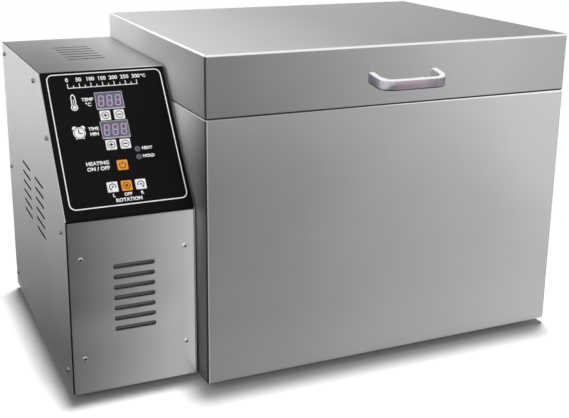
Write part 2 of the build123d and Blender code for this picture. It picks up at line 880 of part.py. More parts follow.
def control_outline(inset):
    """Side outline of the control box, inset by a wall or a flange."""
    corners = [
        (control_setback, base_z),
        (control_setback, panel_foot_z),
        (panel_top_y, control_top_z),
        (body_depth, control_top_z),
        (body_depth, base_z),
    ]
    face = make_face(Polyline(*corners, close=True))
    if inset:
        face = offset(face, -inset, kind=Kind.INTERSECTION)
    return fillet(face.vertices(), max(control_fold_radius - inset, sheet))


def control_slice(inset, x):
    """Control box outline carried along x."""
    return extrude(Plane.YZ.offset(x[0]) * control_outline(inset), x[1] - x[0], dir=(1, 0, 0))


def on_panel(across, down, height, depth, shape):
    """Flat shape on the key panel, carried from a depth below its face up to a height above it."""
    face = panel * Pos(across, -down, -depth) * shape
    return extrude(face, height + depth, dir=panel_out)


def key_ways(gap, height, depth):
    """Square ways for the keys."""
    side = key_size + 2 * gap
    corner = key_corner + gap
    return [on_panel(x, y, height, depth, RectangleRounded(side, side, corner)) for x, y in keys.values()]


def window_ways(gap, height, depth):
    """Ways for the two display windows."""
    shape = Rectangle(window_width + 2 * gap, window_height + 2 * gap)
    return [on_panel(0, row, height, depth, shape) for row in display_rows]


def lamp_ways(gap, height, depth):
    """Round ways for the indicator lamps."""
    shape = Circle(lamp_radius + gap)
    return [on_panel(lamp_across, row, height, depth, shape) for row in lamp_rows]


def control_slots_top():
    """Vent slots in the control box's top."""
    slots = []
    for row in range(top_slot_count):
        y = panel_top_y + top_slot_setback + row * top_slot_pitch
        face = Pos(control_mid, y, control_top_z - 2 * sheet) * SlotOverall(top_slot_length, top_slot_width)
        slots.append(extrude(face, 3 * sheet, dir=(0, 0, 1)))
    return slots


def board_studs():
    """Studs behind the key panel that carry the control board."""
    half = (control_width - 2 * board_side_margin) / 2 - stud_inset
    rows = (board_top_margin + stud_inset, panel_length - board_bottom_margin - stud_inset)
    return [
        on_panel(side * half, row, -sheet / 2, board_depth, Circle(stud_radius))
        for side in (-1, 1)
        for row in rows
    ]


def control_shell():
    """Folded bottom, back, top and sloping front, with flanges for the two covers."""
    span = (control_left + sheet, inner_face)
    shell = control_slice(0, span) - control_slice(sheet, span)
    front = (control_setback, control_setback + sheet)
    behind = (front[1], front[1] + sheet)
    mouth_top = panel_foot_z - front_lip
    shell -= slab(span, front, (base_z, mouth_top))
    flange_z = (base_z + sheet, mouth_top)
    shell += slab((span[0], span[0] + front_flange), behind, flange_z)
    shell += slab((span[1] - front_flange, span[1]), behind, flange_z)
    shell += slab(span, behind, (mouth_top - front_flange / 2, panel_foot_z - sheet))
    ring_x = (span[0], span[0] + sheet)
    shell += control_slice(sheet, ring_x) - control_slice(side_flange, ring_x)
    shell += board_studs()
    shell -= key_ways(key_clearance, sheet, 2 * sheet)
    shell -= window_ways(window_gap, sheet, 2 * sheet)
    shell -= lamp_ways(window_gap, sheet, 2 * sheet)
    shell -= control_slots_top()
    gland_way = (body_depth - 2 * sheet, body_depth + sheet)
    shell -= rod_y(gland_spigot_radius + passage_gap, control_mid, gland_way, gland_z)
    return shell - screw_holes()


def control_inner_wall():
    """Wall of the control box beside the casing."""
    return control_slice(0, (inner_face, control_right)) - wall_passages()


def side_cover():
    """Removable left cover with two columns of vent slots."""
    cover = control_slice(0, (control_left, control_left + sheet))
    slot = SlotOverall(side_slot_length, side_slot_height)
    start = Plane.YZ.offset(control_left - sheet)
    for column in side_slot_columns:
        for row in range(side_slot_count):
            z = base_z + side_slot_top - row * side_slot_pitch
            face = start * Pos(body_depth - column, z) * slot
            cover -= extrude(face, 3 * sheet, dir=(1, 0, 0))
    return cover - screw_holes()


def front_cover():
    """Removable lower front cover with a stack of vent slots."""
    across = (control_left + sheet + cover_gap, inner_face - cover_gap)
    upright = (base_z, panel_foot_z - front_lip - cover_gap)
    cover = slab(across, (control_setback, control_setback + sheet), upright)
    for row in range(front_slot_count):
        z = base_z + front_slot_top - row * front_slot_pitch
        start = Plane(origin=(control_mid, control_setback - sheet, z), x_dir=(1, 0, 0), z_dir=(0, -1, 0))
        face = start * SlotOverall(front_slot_length, front_slot_height)
        cover -= extrude(face, 3 * sheet, dir=(0, 1, 0))
    return cover - screw_holes()


def spacer_frame():
    """Frame that holds the control box off the hot casing: it follows the box's outline below the rim."""
    x = (control_right, 0)
    outlines = []
    for inset in (spacer_inset, spacer_inset + spacer_width):
        below = slab(x, (0, body_depth), (base_z, rim_z - inset))
        outlines.append(control_slice(inset, x) & below)
    return outlines[0] - outlines[1] - wall_passages()


def key_panel():
    """Printed film over the sloping front."""
    width = control_width - 2 * film_margin
    length = panel_length - 2 * film_margin
    shape = RectangleRounded(width, length, film_corner)
    film = on_panel(-face_shift, panel_length / 2, film_thickness, 0, shape)
    film -= key_ways(key_clearance, 2 * film_thickness, film_thickness)
    film -= window_ways(window_gap, 2 * film_thickness, film_thickness)
    return film - lamp_ways(window_gap, 2 * film_thickness, film_thickness)


def displays():
    """Seven-segment display modules that stand on the control board."""
    return window_ways(0, film_thickness - window_depth, board_depth)


def indicator_lamps():
    """Two small round lamps."""
    lamps = []
    for way in lamp_ways(0, lamp_rise, board_depth):
        lamps.append(fillet(way.edges().sort_by(Axis.Z)[-1], lamp_radius / 2))
    return lamps


def control_board():
    """Circuit board on the studs behind the key panel."""
    width = control_width - 2 * board_side_margin
    length = panel_length - board_top_margin - board_bottom_margin
    middle = board_top_margin + length / 2
    return on_panel(0, middle, -board_depth, board_depth + board_sheet, Rectangle(width, length))


def tact_switches():
    """One switch under each key."""
    switches = []
    top = board_depth - switch_height
    for across, down in keys.values():
        body = on_panel(across, down, -top, board_depth, Rectangle(switch_size, switch_size))
        plunger = on_panel(across, down, plunger_height - top, top, Circle(plunger_radius))
        switches.append(body + plunger)
    return switches


def key(across, down):
    """Square key with a flange that keeps it behind the panel and a stem over its switch."""
    cap = on_panel(0, 0, key_rise, sheet + key_flange_gap, RectangleRounded(key_size, key_size, key_corner))
    top_face = cap.faces().sort_by(Axis((0, 0, 0), panel_out))[-1]
    cap = fillet(top_face.edges(), key_edge)
    side = key_size + 2 * key_flange_lap
    top = sheet + key_flange_gap
    flange = on_panel(0, 0, -top, top + key_flange, RectangleRounded(side, side, key_corner))
    foot = board_depth - switch_height - plunger_height - key_travel - key_clearance
    stem = on_panel(0, 0, -top, foot, Circle(key_stem_radius))
    shift = panel.x_dir * across - panel.y_dir * down
    return Pos(shift.X, shift.Y, shift.Z) * (cap + flange + stem)


def solid_state_relay():
    """Relay on the control box's inner wall."""
    y = body_depth - relay_setback
    z = base_z + relay_rise
    base = slab((inner_face - relay_base, inner_face), (y, y + relay_width), (z, z + relay_height))
    body_x = (inner_face - relay_thickness, inner_face - relay_base)
    body = slab(body_x, (y, y + relay_width), (z + relay_lug, z + relay_height - relay_lug))
    return base + body


def terminal_block():
    """Barrier terminal block on the control box's floor."""
    y = body_depth - block_setback
    floor = base_z + sheet
    half = block_width / 2
    along = (y, y + block_depth)
    block = slab((control_mid - half, control_mid + half), along, (floor, floor + block_height))
    pitch = block_width / block_ways
    for way in range(block_ways):
        start = control_mid - half + way * pitch + block_groove / 2
        across = (start, start + pitch - block_groove)
        block -= slab(across, along, (floor + block_height / 2, floor + block_height))
    return block


def hex_along_y(radius, y):
    """Hexagonal prism along y on the gland's axis."""
    start = Plane(origin=(control_mid, y[0], gland_z), x_dir=(1, 0, 0), z_dir=(0, 1, 0))
    return extrude(start * RegularPolygon(radius, 6), y[1] - y[0], dir=(0, 1, 0))


def cable_gland():
    """Screwed cable gland through the back of the control box."""
    seat = body_depth
    gland = hex_along_y(gland_hex_radius, (seat, seat + gland_hex))
    dome = rod_y(gland_dome_radius, control_mid, (seat + gland_hex, seat + gland_reach), gland_z)
    dome = chamfer(dome.edges().sort_by(Axis.Y)[-1], gland_dome_taper)
    spigot = rod_y(gland_spigot_radius, control_mid, (seat - gland_spigot, seat), gland_z)
    bore = rod_y(gland_bore, control_mid, (seat - gland_spigot, seat + gland_reach), gland_z)
    return gland + dome + spigot - bore


def gland_nut():
    """Lock nut of the cable gland inside the box."""
    inside = body_depth - sheet
    span = (inside - gland_nut_thickness, inside)
    bore = rod_y(gland_spigot_radius + passage_gap, control_mid, span, gland_z)
    return hex_along_y(gland_nut_radius, span) - bore


makers = [
    casing_wrap, casing_floor, casing_rear, chamber_liner, wall_insulation, panel_screws, feet,
    lid_shell, lid_pan, lid_insulation, lid_seal, handle,
    hinge_body_leaves, hinge_lid_leaves, hinge_pins,
    element_bracket, temperature_probe,
    drum_shell, drum_ends, lifting_vanes, hatch_rails, drum_hatch, hatch_knob,
    drum_tongue, drum_journal, drum_saddle, drive_fork, drive_shaft, shaft_coupling, motor_shaft,
    shaft_sleeve, drum_bearing, gear_case, motor, motor_standoffs,
    control_shell, control_inner_wall, side_cover, front_cover, spacer_frame,
    key_panel, displays, indicator_lamps, control_board, tact_switches,
    solid_state_relay, terminal_block, cable_gland, gland_nut,
]
for maker in makers:
    pieces[maker.__name__] = maker()
for name, middle in zip(("heating_element_front", "heating_element_rear"), element_middles):
    pieces[name] = heating_element(middle)
for name, (across, down) in keys.items():
    pieces[name] = key(across, down)

# The origin is under the middle of the whole roaster, on the table
groups = {name: piece if isinstance(piece, list) else [piece] for name, piece in pieces.items()}
boxes = [solid.bounding_box() for group in groups.values() for solid in group]
middle_x = (min(box.min.X for box in boxes) + max(box.max.X for box in boxes)) / 2
middle_y = (min(box.min.Y for box in boxes) + max(box.max.Y for box in boxes)) / 2

os.makedirs("parts", exist_ok=True)
for name, group in groups.items():
    moved = [Pos(-middle_x, -middle_y, 0) * solid for solid in group]
    export_step(Compound(children=moved) if len(moved) > 1 else moved[0], f"parts/{name}.step")
print(f"{len(groups)} pieces, origin at x {middle_x:.3f}, y {middle_y:.3f}")
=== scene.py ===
import math
import bmesh
import bpy
from mathutils import Matrix, Vector


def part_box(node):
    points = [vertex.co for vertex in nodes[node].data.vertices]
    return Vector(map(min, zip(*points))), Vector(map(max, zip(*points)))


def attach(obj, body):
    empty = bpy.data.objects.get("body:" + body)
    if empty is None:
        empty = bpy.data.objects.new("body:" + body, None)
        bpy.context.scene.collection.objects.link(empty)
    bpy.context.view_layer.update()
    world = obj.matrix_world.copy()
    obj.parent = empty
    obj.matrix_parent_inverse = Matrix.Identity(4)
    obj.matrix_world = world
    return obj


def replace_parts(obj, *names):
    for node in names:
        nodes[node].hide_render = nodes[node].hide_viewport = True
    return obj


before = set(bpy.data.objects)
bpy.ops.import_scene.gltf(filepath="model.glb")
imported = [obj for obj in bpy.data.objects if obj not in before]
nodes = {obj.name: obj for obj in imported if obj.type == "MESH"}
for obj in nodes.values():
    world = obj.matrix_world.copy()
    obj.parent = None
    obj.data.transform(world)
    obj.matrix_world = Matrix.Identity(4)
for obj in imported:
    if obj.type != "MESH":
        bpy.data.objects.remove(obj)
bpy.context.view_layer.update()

scene = bpy.context.scene
scene.view_settings.view_transform = "Standard"


# camera, solved from the corners of the casing, the lid and the control box
cameraSet = {
    "place": (-0.535146, -1.217925, 0.582528),
    "right": (0.912018, -0.410007, 0.010855),
    "up": (0.100272, 0.248552, 0.963414),
    "lens": 62.59,
    "sensor": 36.0,
    "shiftY": -0.0773,  # the picture's centre lies below the level of the lens axis
}


def makeCamera(opts):
    data = bpy.data.cameras.new("photoCamera")
    data.lens = opts["lens"]
    data.sensor_width = opts["sensor"]
    data.shift_y = opts["shiftY"]
    camera = bpy.data.objects.new("photoCamera", data)
    scene.collection.objects.link(camera)
    right, up = Vector(opts["right"]), Vector(opts["up"])
    turn = Matrix((right, up, right.cross(up))).transposed().to_4x4()
    camera.matrix_world = Matrix.Translation(opts["place"]) @ turn
    scene.camera = camera


makeCamera(cameraSet)
print("camera placed")


# small helpers for node trees
def fresh(name):
    mat = bpy.data.materials.new(name)
    mat.use_nodes = True
    return mat, mat.node_tree, mat.node_tree.nodes["Principled BSDF"]


def add(tree, kind, values=None, **props):
    node = tree.nodes.new(kind)
    for key, value in props.items():
        setattr(node, key, value)
    for key, value in (values or {}).items():
        node.inputs[key].default_value = value
    return node


def wire(tree, node, sources):
    for key, source in sources.items():
        tree.links.new(source, node.inputs[key])


def grainOn(tree, stretch, detail):
    coords = add(tree, "ShaderNodeTexCoord")
    place = add(tree, "ShaderNodeMapping", {"Scale": stretch})
    grain = add(tree, "ShaderNodeTexNoise", {"Scale": 1.0, "Detail": detail, "Roughness": 0.55})
    tree.links.new(coords.outputs["Object"], place.inputs["Vector"])
    tree.links.new(place.outputs["Vector"], grain.inputs["Vector"])
    return grain.outputs[0]


def remap(tree, source, low, high, outLow=0.0, outHigh=1.0):
    ranged = add(tree, "ShaderNodeMapRange", {1: low, 2: high, 3: outLow, 4: outHigh})
    tree.links.new(source, ranged.inputs[0])
    return ranged.outputs[0]


def spread(tree, grain, low, high):
    return remap(tree, grain, 0.3, 0.7, low, high)  # most of the noise lies between these


def calc(tree, first, operation, second=0.0):
    node = add(tree, "ShaderNodeMath", operation=operation)
    for socket, value in zip(node.inputs, (first, second)):
        if isinstance(value, (int, float)):
            socket.default_value = value
        else:
            tree.links.new(value, socket)
    return node.outputs[0]


def flip(tree, mask):
    return calc(tree, 1.0, "SUBTRACT", mask)


def band(tree, source, rise, fall):
    return calc(tree, remap(tree, source, *rise), "MULTIPLY", remap(tree, source, *fall, 1.0, 0.0))


def tint(tree, factor, first, second):
    blend = add(tree, "ShaderNodeMix", {6: (*first, 1), 7: (*second, 1)}, data_type="RGBA")
    tree.links.new(factor, blend.inputs[0])
    return blend.outputs[2]


def layer(tree, base, mask, colour, blend="MIX"):
    over = add(tree, "ShaderNodeMix", data_type="RGBA", blend_type=blend)
    wire(tree, over, {0: mask, 6: base})
    if isinstance(colour, tuple):
        over.inputs[7].default_value = (*colour, 1)
    else:
        wire(tree, over, {7: colour})
    return over.outputs[2]


def ramp(tree, coords, direction, start, end, low=0.0, high=1.0):
    along = add(tree, "ShaderNodeVectorMath", {1: direction}, operation="DOT_PRODUCT")
    tree.links.new(coords.outputs["Object"], along.inputs[0])
    return remap(tree, along.outputs["Value"], start, end, low, high)


def facingOf(tree, coords):
    split = add(tree, "ShaderNodeSeparateXYZ")
    tree.links.new(coords.outputs["Normal"], split.inputs[0])
    return split.outputs


def bumpFrom(tree, height, strength, depth):
    bump = add(tree, "ShaderNodeBump", {"Strength": strength, "Distance": depth})
    tree.links.new(height, bump.inputs["Height"])
    return bump.outputs["Normal"]


# small helpers for meshes and pieces
def vertsOf(geom):
    return [g for g in geom if isinstance(g, bmesh.types.BMVert)]


def edgesOf(geom):
    return [g for g in geom if isinstance(g, bmesh.types.BMEdge)]


def extruded(bm, edges):
    geom = bmesh.ops.extrude_edge_only(bm, edges=edges)["geom"]
    verts = vertsOf(geom)
    return verts, [e for e in edgesOf(geom) if all(v in verts for v in e.verts)]


def drawOn(bm, edges, way):
    verts, ends = extruded(bm, edges)
    bmesh.ops.translate(bm, verts=verts, vec=way)
    return ends


def inMetres(bm):
    bmesh.ops.recalc_face_normals(bm, faces=bm.faces)
    bmesh.ops.scale(bm, verts=bm.verts, vec=(0.001, 0.001, 0.001))
    return bm


def pieceFrom(bm, name, mat):
    mesh = bpy.data.meshes.new(name)
    bm.to_mesh(mesh)
    bm.free()
    mesh.materials.append(mat)
    piece = bpy.data.objects.new(name, mesh)
    scene.collection.objects.link(piece)
    return piece


def placed(bm, name, mat, body):
    piece = pieceFrom(bm, name, mat)
    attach(piece, body)
    return piece


def smoothed(piece, sharp):
    piece.data.shade_smooth()
    piece.data.set_sharp_from_angle(angle=math.radians(sharp))


# studio: pale floor, white surround, a soft box, and cards that only the metal sees
studioSet = {
    "floorSize": 9.0, "floorDrop": 0.0003, "floorColour": (0.88, 0.88, 0.88), "floorRough": 0.9,
    "floorLift": 0.03, "fill": 0.13,
    "overhead": {"from": (0.052, 0.072, 1.0), "energy": 3.05, "angle": 5.6},
    "softBox": {"at": (-1.6, -2.0, 1.5), "aim": (-0.25, -0.1, 0.3), "size": 1.2, "power": 6.0},
    "cards": [
        # name, corner, side, other side, then the ramp's direction, start and end, and the light at each
        ("frontCard", (-0.176, -0.206, 0.003), (0, -2.3, 0), (2.4, 0, 0),
         (0.866, 0.5, 0), -0.55, 0.6, 0.16, 1.0),
        ("controlCard", (-0.7, -0.17, 0.003), (0, -2.3, 0), (0.524, 0, 0),
         (0.866, 0.5, 0), -0.55, 0.6, 0.16, 1.0),
        ("rearCard", (-1.2, 1.6, 0.25), (4.2, 0, 0), (0, 0, 1.5),
         (1, 0, 0), 0.2, 1.9, 1.0, 0.3),
        ("behindCard", (-0.33, -0.16, 0.003), (0, 2.6, 0), (-0.45, 0, 0),
         (0, 1, 0), 0.0, 1.6, 0.12, 0.95),
        ("edgeCard", (-0.8, 1.58, 0.8), (0.75, 0, 0), (0, 0, 0.55),
         (1, 0, 0), -0.8, 0.0, 2.6, 2.6),
        ("cornerCard", (-0.1725, -0.167, 0.008), (0, -0.032, 0), (0, 0, 0.22),
         (0, 0, 1), 0.0, 0.3, 0.5, 0.5),
        ("slopeCard", (-0.1745, -0.0526, 0.3733), (-0.12, 0, 0), (0, -0.0756, -0.0997),
         (0, 0, 1), 0.27, 0.37, 0.02, 1.0),
    ],
}


def makeCard(name, corner, side, other, *shade):
    mat, tree, shader = fresh(name)
    tree.nodes.remove(shader)
    glow = add(tree, "ShaderNodeEmission", {"Color": (1, 1, 1, 1)})
    wire(tree, glow, {"Strength": ramp(tree, add(tree, "ShaderNodeTexCoord"), *shade)})
    behind = add(tree, "ShaderNodeNewGeometry").outputs["Backfacing"]
    clear = add(tree, "ShaderNodeBsdfTransparent").outputs[0]
    oneSided = add(tree, "ShaderNodeMixShader")  # lit on its front, clear from behind
    wire(tree, oneSided, {0: behind, 1: glow.outputs[0], 2: clear})
    wire(tree, tree.nodes["Material Output"], {"Surface": oneSided.outputs[0]})
    bm = bmesh.new()
    shares = ((0, 0), (1, 0), (1, 1), (0, 1))
    corners = [Vector(corner) + a * Vector(side) + b * Vector(other) for a, b in shares]
    bm.faces.new([bm.verts.new(c) for c in corners])
    card = pieceFrom(bm, name, mat)
    card.visible_camera = card.visible_diffuse = card.visible_shadow = False


def seenByEye(tree):
    path = add(tree, "ShaderNodeLightPath")
    either = calc(tree, path.outputs["Is Camera Ray"], "MAXIMUM", path.outputs["Is Glossy Ray"])
    return calc(tree, either, "MAXIMUM", path.outputs["Is Transmission Ray"])


def makeSurround(opts):
    world = bpy.data.worlds.new("studio")
    scene.world = world
    world.use_nodes = True
    tree = world.node_tree
    tree.nodes.clear()
    white = add(tree, "ShaderNodeBackground", {"Color": (1, 1, 1, 1), "Strength": 1.0})
    fill = add(tree, "ShaderNodeBackground", {"Color": (1, 1, 1, 1), "Strength": opts["fill"]})
    blend = add(tree, "ShaderNodeMixShader")
    wire(tree, blend, {0: seenByEye(tree), 1: fill.outputs[0], 2: white.outputs[0]})
    wire(tree, add(tree, "ShaderNodeOutputWorld"), {"Surface": blend.outputs[0]})


def makeFloor(opts):
    mat, tree, shader = fresh("paleFloor")
    shader.inputs["Base Color"].default_value = (*opts["floorColour"], 1)
    shader.inputs["Roughness"].default_value = opts["floorRough"]
    shader.inputs["Specular IOR Level"].default_value = 0.0
    shader.inputs["Emission Color"].default_value = (1, 1, 1, 1)
    wire(tree, shader, {"Emission Strength": calc(tree, seenByEye(tree), "MULTIPLY", opts["floorLift"])})
    bm = bmesh.new()
    level = Matrix.Translation((0, 0, -opts["floorDrop"]))
    bmesh.ops.create_grid(bm, x_segments=1, y_segments=1, size=opts["floorSize"], matrix=level)
    pieceFrom(bm, "floor", mat)


def makeLights(overhead, soft):
    data = bpy.data.lights.new("overhead", "SUN")
    data.energy = overhead["energy"]
    data.angle = math.radians(overhead["angle"])
    sun = bpy.data.objects.new("overhead", data)
    sun.rotation_euler = Vector(overhead["from"]).to_track_quat("Z", "Y").to_euler()
    sun.visible_glossy = False  # no hot spot on the lid from above
    scene.collection.objects.link(sun)

    data = bpy.data.lights.new("softBox", "AREA")
    data.size = soft["size"]
    data.energy = soft["power"]
    box = bpy.data.objects.new("softBox", data)
    box.visible_camera = box.visible_glossy = False
    box.location = soft["at"]
    box.rotation_euler = (Vector(soft["aim"]) - Vector(soft["at"])).to_track_quat("-Z", "Y").to_euler()
    scene.collection.objects.link(box)


makeSurround(studioSet)
makeFloor(studioSet)
makeLights(studioSet["overhead"], studioSet["softBox"])
for card in studioSet["cards"]:
    makeCard(*card)
print("studio ready")


# brushed stainless sheet: fine lines along the sheet, reflections drawn out across them and faint smudges,
# with painted light: ramps of painted shade and reflection, painted shade on bends from front to side,
# painted highlights on folds
evenTone = [((0, 0, 1), -1.0, 1.0, 0.5, 0.5)]
sheetSet = {
    "lines": (5.0, 5.0, 700.0), "topLines": (5.0, 700.0, 5.0), "detail": 4.0,
    "smudge": (5.0, 5.0, 5.0), "smudgeDetail": 2.0, "paintedShading": evenTone, "top": evenTone,
    "uneven": (0.03, 0.05),  # how far brush lines and smudges move the tone
    "rough": 0.36, "roughLines": (0.25, 0.75, -0.04, 0.04), "roughSmudge": (-0.03, 0.03), "crestGloss": 0.16,
    "streak": 0.7, "bump": 0.04, "depth": 0.0004,
    "turned": 0.7,  # a face turned this far counts as a top or as a side
    "bend": 1.0, "bendRange": (0.2, 0.42), "bendPaintedShade": (0.15, 0.15, 0.15),
    "satinMetal": 0.45, "satinRough": 0.2, "cutRough": 0.5,
    "leftwards": (-0.3, -0.1), "slopeTop": ((0.64, 0.7), (0.97, 0.995)), "slopeFront": -0.1,
    "leftTurn": ((-0.32, -0.26), (-0.1, -0.04)), "frontal": -0.9,
}


def paintedHighlightLines(tree, opts, colour, coords, crest):
    x, y, z = facingOf(tree, coords)
    shine = crest
    if "leftFoldHighlight" in opts:  # painted highlight: the line on a fold that faces left is thinner and changes towards the back
        thin, start, end, front, back = opts["leftFoldHighlight"]
        leftwards = remap(tree, x, *opts["leftwards"], 1.0, 0.0)
        line = calc(tree, calc(tree, crest, "POWER", thin), "MULTIPLY", leftwards)
        shine = calc(tree, crest, "MULTIPLY", flip(tree, leftwards))
        shade = tint(tree, ramp(tree, coords, (0, 1, 0), start, end), front, back)
        colour = layer(tree, colour, line, shade)
    # painted highlight on the other folds
    colour = layer(tree, colour, shine, opts.get("crest", opts["light"]))
    if "rimHighlight" in opts:  # painted highlight along the rim, wider to the right
        *way, pale = opts["rimHighlight"]
        colour = layer(tree, colour, ramp(tree, coords, *way), pale)
    if "glint" in opts:  # painted highlight along the bend above the key film, stronger to the right
        start, end, pale = opts["glint"]
        above = calc(tree, y, "LESS_THAN", opts["slopeFront"])
        above = calc(tree, above, "MULTIPLY", band(tree, z, *opts["slopeTop"]))
        above = calc(tree, above, "MULTIPLY", ramp(tree, coords, (1, 0, 0), start, end))
        colour = layer(tree, colour, above, pale)
    if "hairlineHighlight" in opts:  # painted highlight where the front turns to the left side
        turning = calc(tree, y, "LESS_THAN", opts["frontal"])
        turning = calc(tree, turning, "MULTIPLY", band(tree, x, *opts["leftTurn"]))
        colour = layer(tree, colour, turning, opts["hairlineHighlight"])
    return colour


def brushedSheet(name, given):
    opts = {**sheetSet, **given}
    mat, tree, shader = fresh(name)
    shader.inputs["Metallic"].default_value = 1.0
    shader.inputs["Anisotropic"].default_value = opts["streak"]
    coords = add(tree, "ShaderNodeTexCoord")
    x, y, z = facingOf(tree, coords)
    rise = calc(tree, z, "ABSOLUTE")
    # share of a fold between a top and a side, where painted highlights go
    crest = calc(tree, calc(tree, rise, "MULTIPLY", flip(tree, rise)), "MULTIPLY", 4.0)
    lying = calc(tree, rise, "GREATER_THAN", opts["turned"])
    upright = flip(tree, lying)

    lines = add(tree, "ShaderNodeMix", data_type="FLOAT")
    along, over = (grainOn(tree, opts[key], opts["detail"]) for key in ("lines", "topLines"))
    wire(tree, lines, {0: lying, 2: along, 3: over})
    brush = lines.outputs[0]
    smudge = grainOn(tree, opts["smudge"], opts["smudgeDetail"])
    fine, slow = opts["uneven"]
    tone = calc(tree, spread(tree, brush, -fine, fine), "ADD", spread(tree, smudge, -slow, slow))
    # painted shade and painted reflection: tone ramps on upright faces and on tops
    for shades, where in ((opts["paintedShading"], upright), (opts["top"], lying)):
        for shade in shades:
            tone = calc(tree, tone, "ADD", calc(tree, ramp(tree, coords, *shade), "MULTIPLY", where))
    colour = tint(tree, tone, opts["dark"], opts["light"])
    rough = remap(tree, brush, *opts["roughLines"])
    rough = calc(tree, rough, "ADD", spread(tree, smudge, *opts["roughSmudge"]))

    if "satin" in opts:  # the side beside the control box: painted shade and light that ramp across it, with a duller grain and less metal
        *way, low, high = opts["satin"]
        left = calc(tree, x, "LESS_THAN", -opts["turned"])
        colour = layer(tree, colour, left, tint(tree, ramp(tree, coords, *way), low, high))
        wire(tree, shader, {"Metallic": remap(tree, left, 0.0, 1.0, 1.0, opts["satinMetal"])})
        rough = calc(tree, rough, "ADD", calc(tree, left, "MULTIPLY", opts["satinRough"]))
    # painted shade: faces turned to the right are darker
    if "right" in opts:
        right = calc(tree, x, "GREATER_THAN", opts["turned"])
        colour = layer(tree, colour, right, opts["right"], "MULTIPLY")
    # painted shade on the bends from the front to a side
    bend = calc(tree, calc(tree, x, "MULTIPLY", y), "ABSOLUTE")
    bend = remap(tree, bend, *opts["bendRange"], 0.0, opts["bend"])
    colour = layer(tree, colour, bend, opts["bendPaintedShade"], "MULTIPLY")
    colour = paintedHighlightLines(tree, opts, colour, coords, crest)
    if "edge" in opts:  # painted shade: cut edges and slot walls of the sheet, towards the front and the top, near black and not metallic
        cut = calc(tree, calc(tree, y, "LESS_THAN", opts["frontal"]), "MAXIMUM", lying)
        colour = layer(tree, colour, cut, opts["edge"])
        wire(tree, shader, {"Metallic": flip(tree, cut)})
        shader.inputs["Specular IOR Level"].default_value = 0.0
        rough = calc(tree, rough, "ADD", calc(tree, cut, "MULTIPLY", opts["cutRough"]))
    rough = calc(tree, rough, "ADD", opts["rough"])
    rough = calc(tree, rough, "SUBTRACT", calc(tree, crest, "MULTIPLY", opts["crestGloss"]))

    across = add(tree, "ShaderNodeCombineXYZ")  # reflections are drawn out across the lines
    wire(tree, across, {1: lying, 2: upright})
    spaces = {"vector_type": "VECTOR", "convert_from": "OBJECT", "convert_to": "WORLD"}
    turned = add(tree, "ShaderNodeVectorTransform", **spaces)
    wire(tree, turned, {0: across.outputs[0]})
    wire(tree, shader, {"Tangent": turned.outputs[0]})
    bump = bumpFrom(tree, brush, opts["bump"], opts["depth"])
    wire(tree, shader, {"Base Color": colour, "Roughness": rough, "Normal": bump})
    return mat


# paint, plastics, castings and the rest: a mottled tone with its own grain
grainSet = {
    "scale": 1500.0, "detail": 4.0, "slow": 0.06, "slowDetail": 2.0, "shares": (0.6, 0.4),
    "rough": 0.5, "unevenRough": 0.08, "bump": 0.05, "depth": 0.0005,
    "metal": 0.0, "gloss": 0.5, "coat": 0.0, "paintedLeftShade": (),
}


def mottled(name, given):
    opts = {**grainSet, **given}
    mat, tree, shader = fresh(name)
    grain = grainOn(tree, (opts["scale"],) * 3, opts["detail"])
    slow = grainOn(tree, (opts["scale"] * opts["slow"],) * 3, opts["slowDetail"])
    shares = [spread(tree, noise, 0.0, share) for noise, share in zip((grain, slow), opts["shares"])]
    both = calc(tree, shares[0], "ADD", shares[1])
    colour = tint(tree, both, opts["dark"], opts["light"])
    for start, end, shade in opts["paintedLeftShade"]:  # painted shade: darker towards the left
        leftwards = ramp(tree, add(tree, "ShaderNodeTexCoord"), (1, 0, 0), start, end, 1.0, 0.0)
        colour = layer(tree, colour, leftwards, shade, "MULTIPLY")
    low, high = opts["rough"] - opts["unevenRough"], opts["rough"] + opts["unevenRough"]
    rough = remap(tree, both, 0.0, 1.0, low, high)
    bump = bumpFrom(tree, grain, opts["bump"], opts["depth"])
    wire(tree, shader, {"Base Color": colour, "Roughness": rough, "Normal": bump})
    shader.inputs["Metallic"].default_value = opts["metal"]
    shader.inputs["Specular IOR Level"].default_value = opts["gloss"]
    shader.inputs["Coat Weight"].default_value = opts["coat"]
    return mat


def dress(mat, names):
    for name in names:
        slots = nodes[name].data.materials
        slots.clear()
        slots.append(mat)


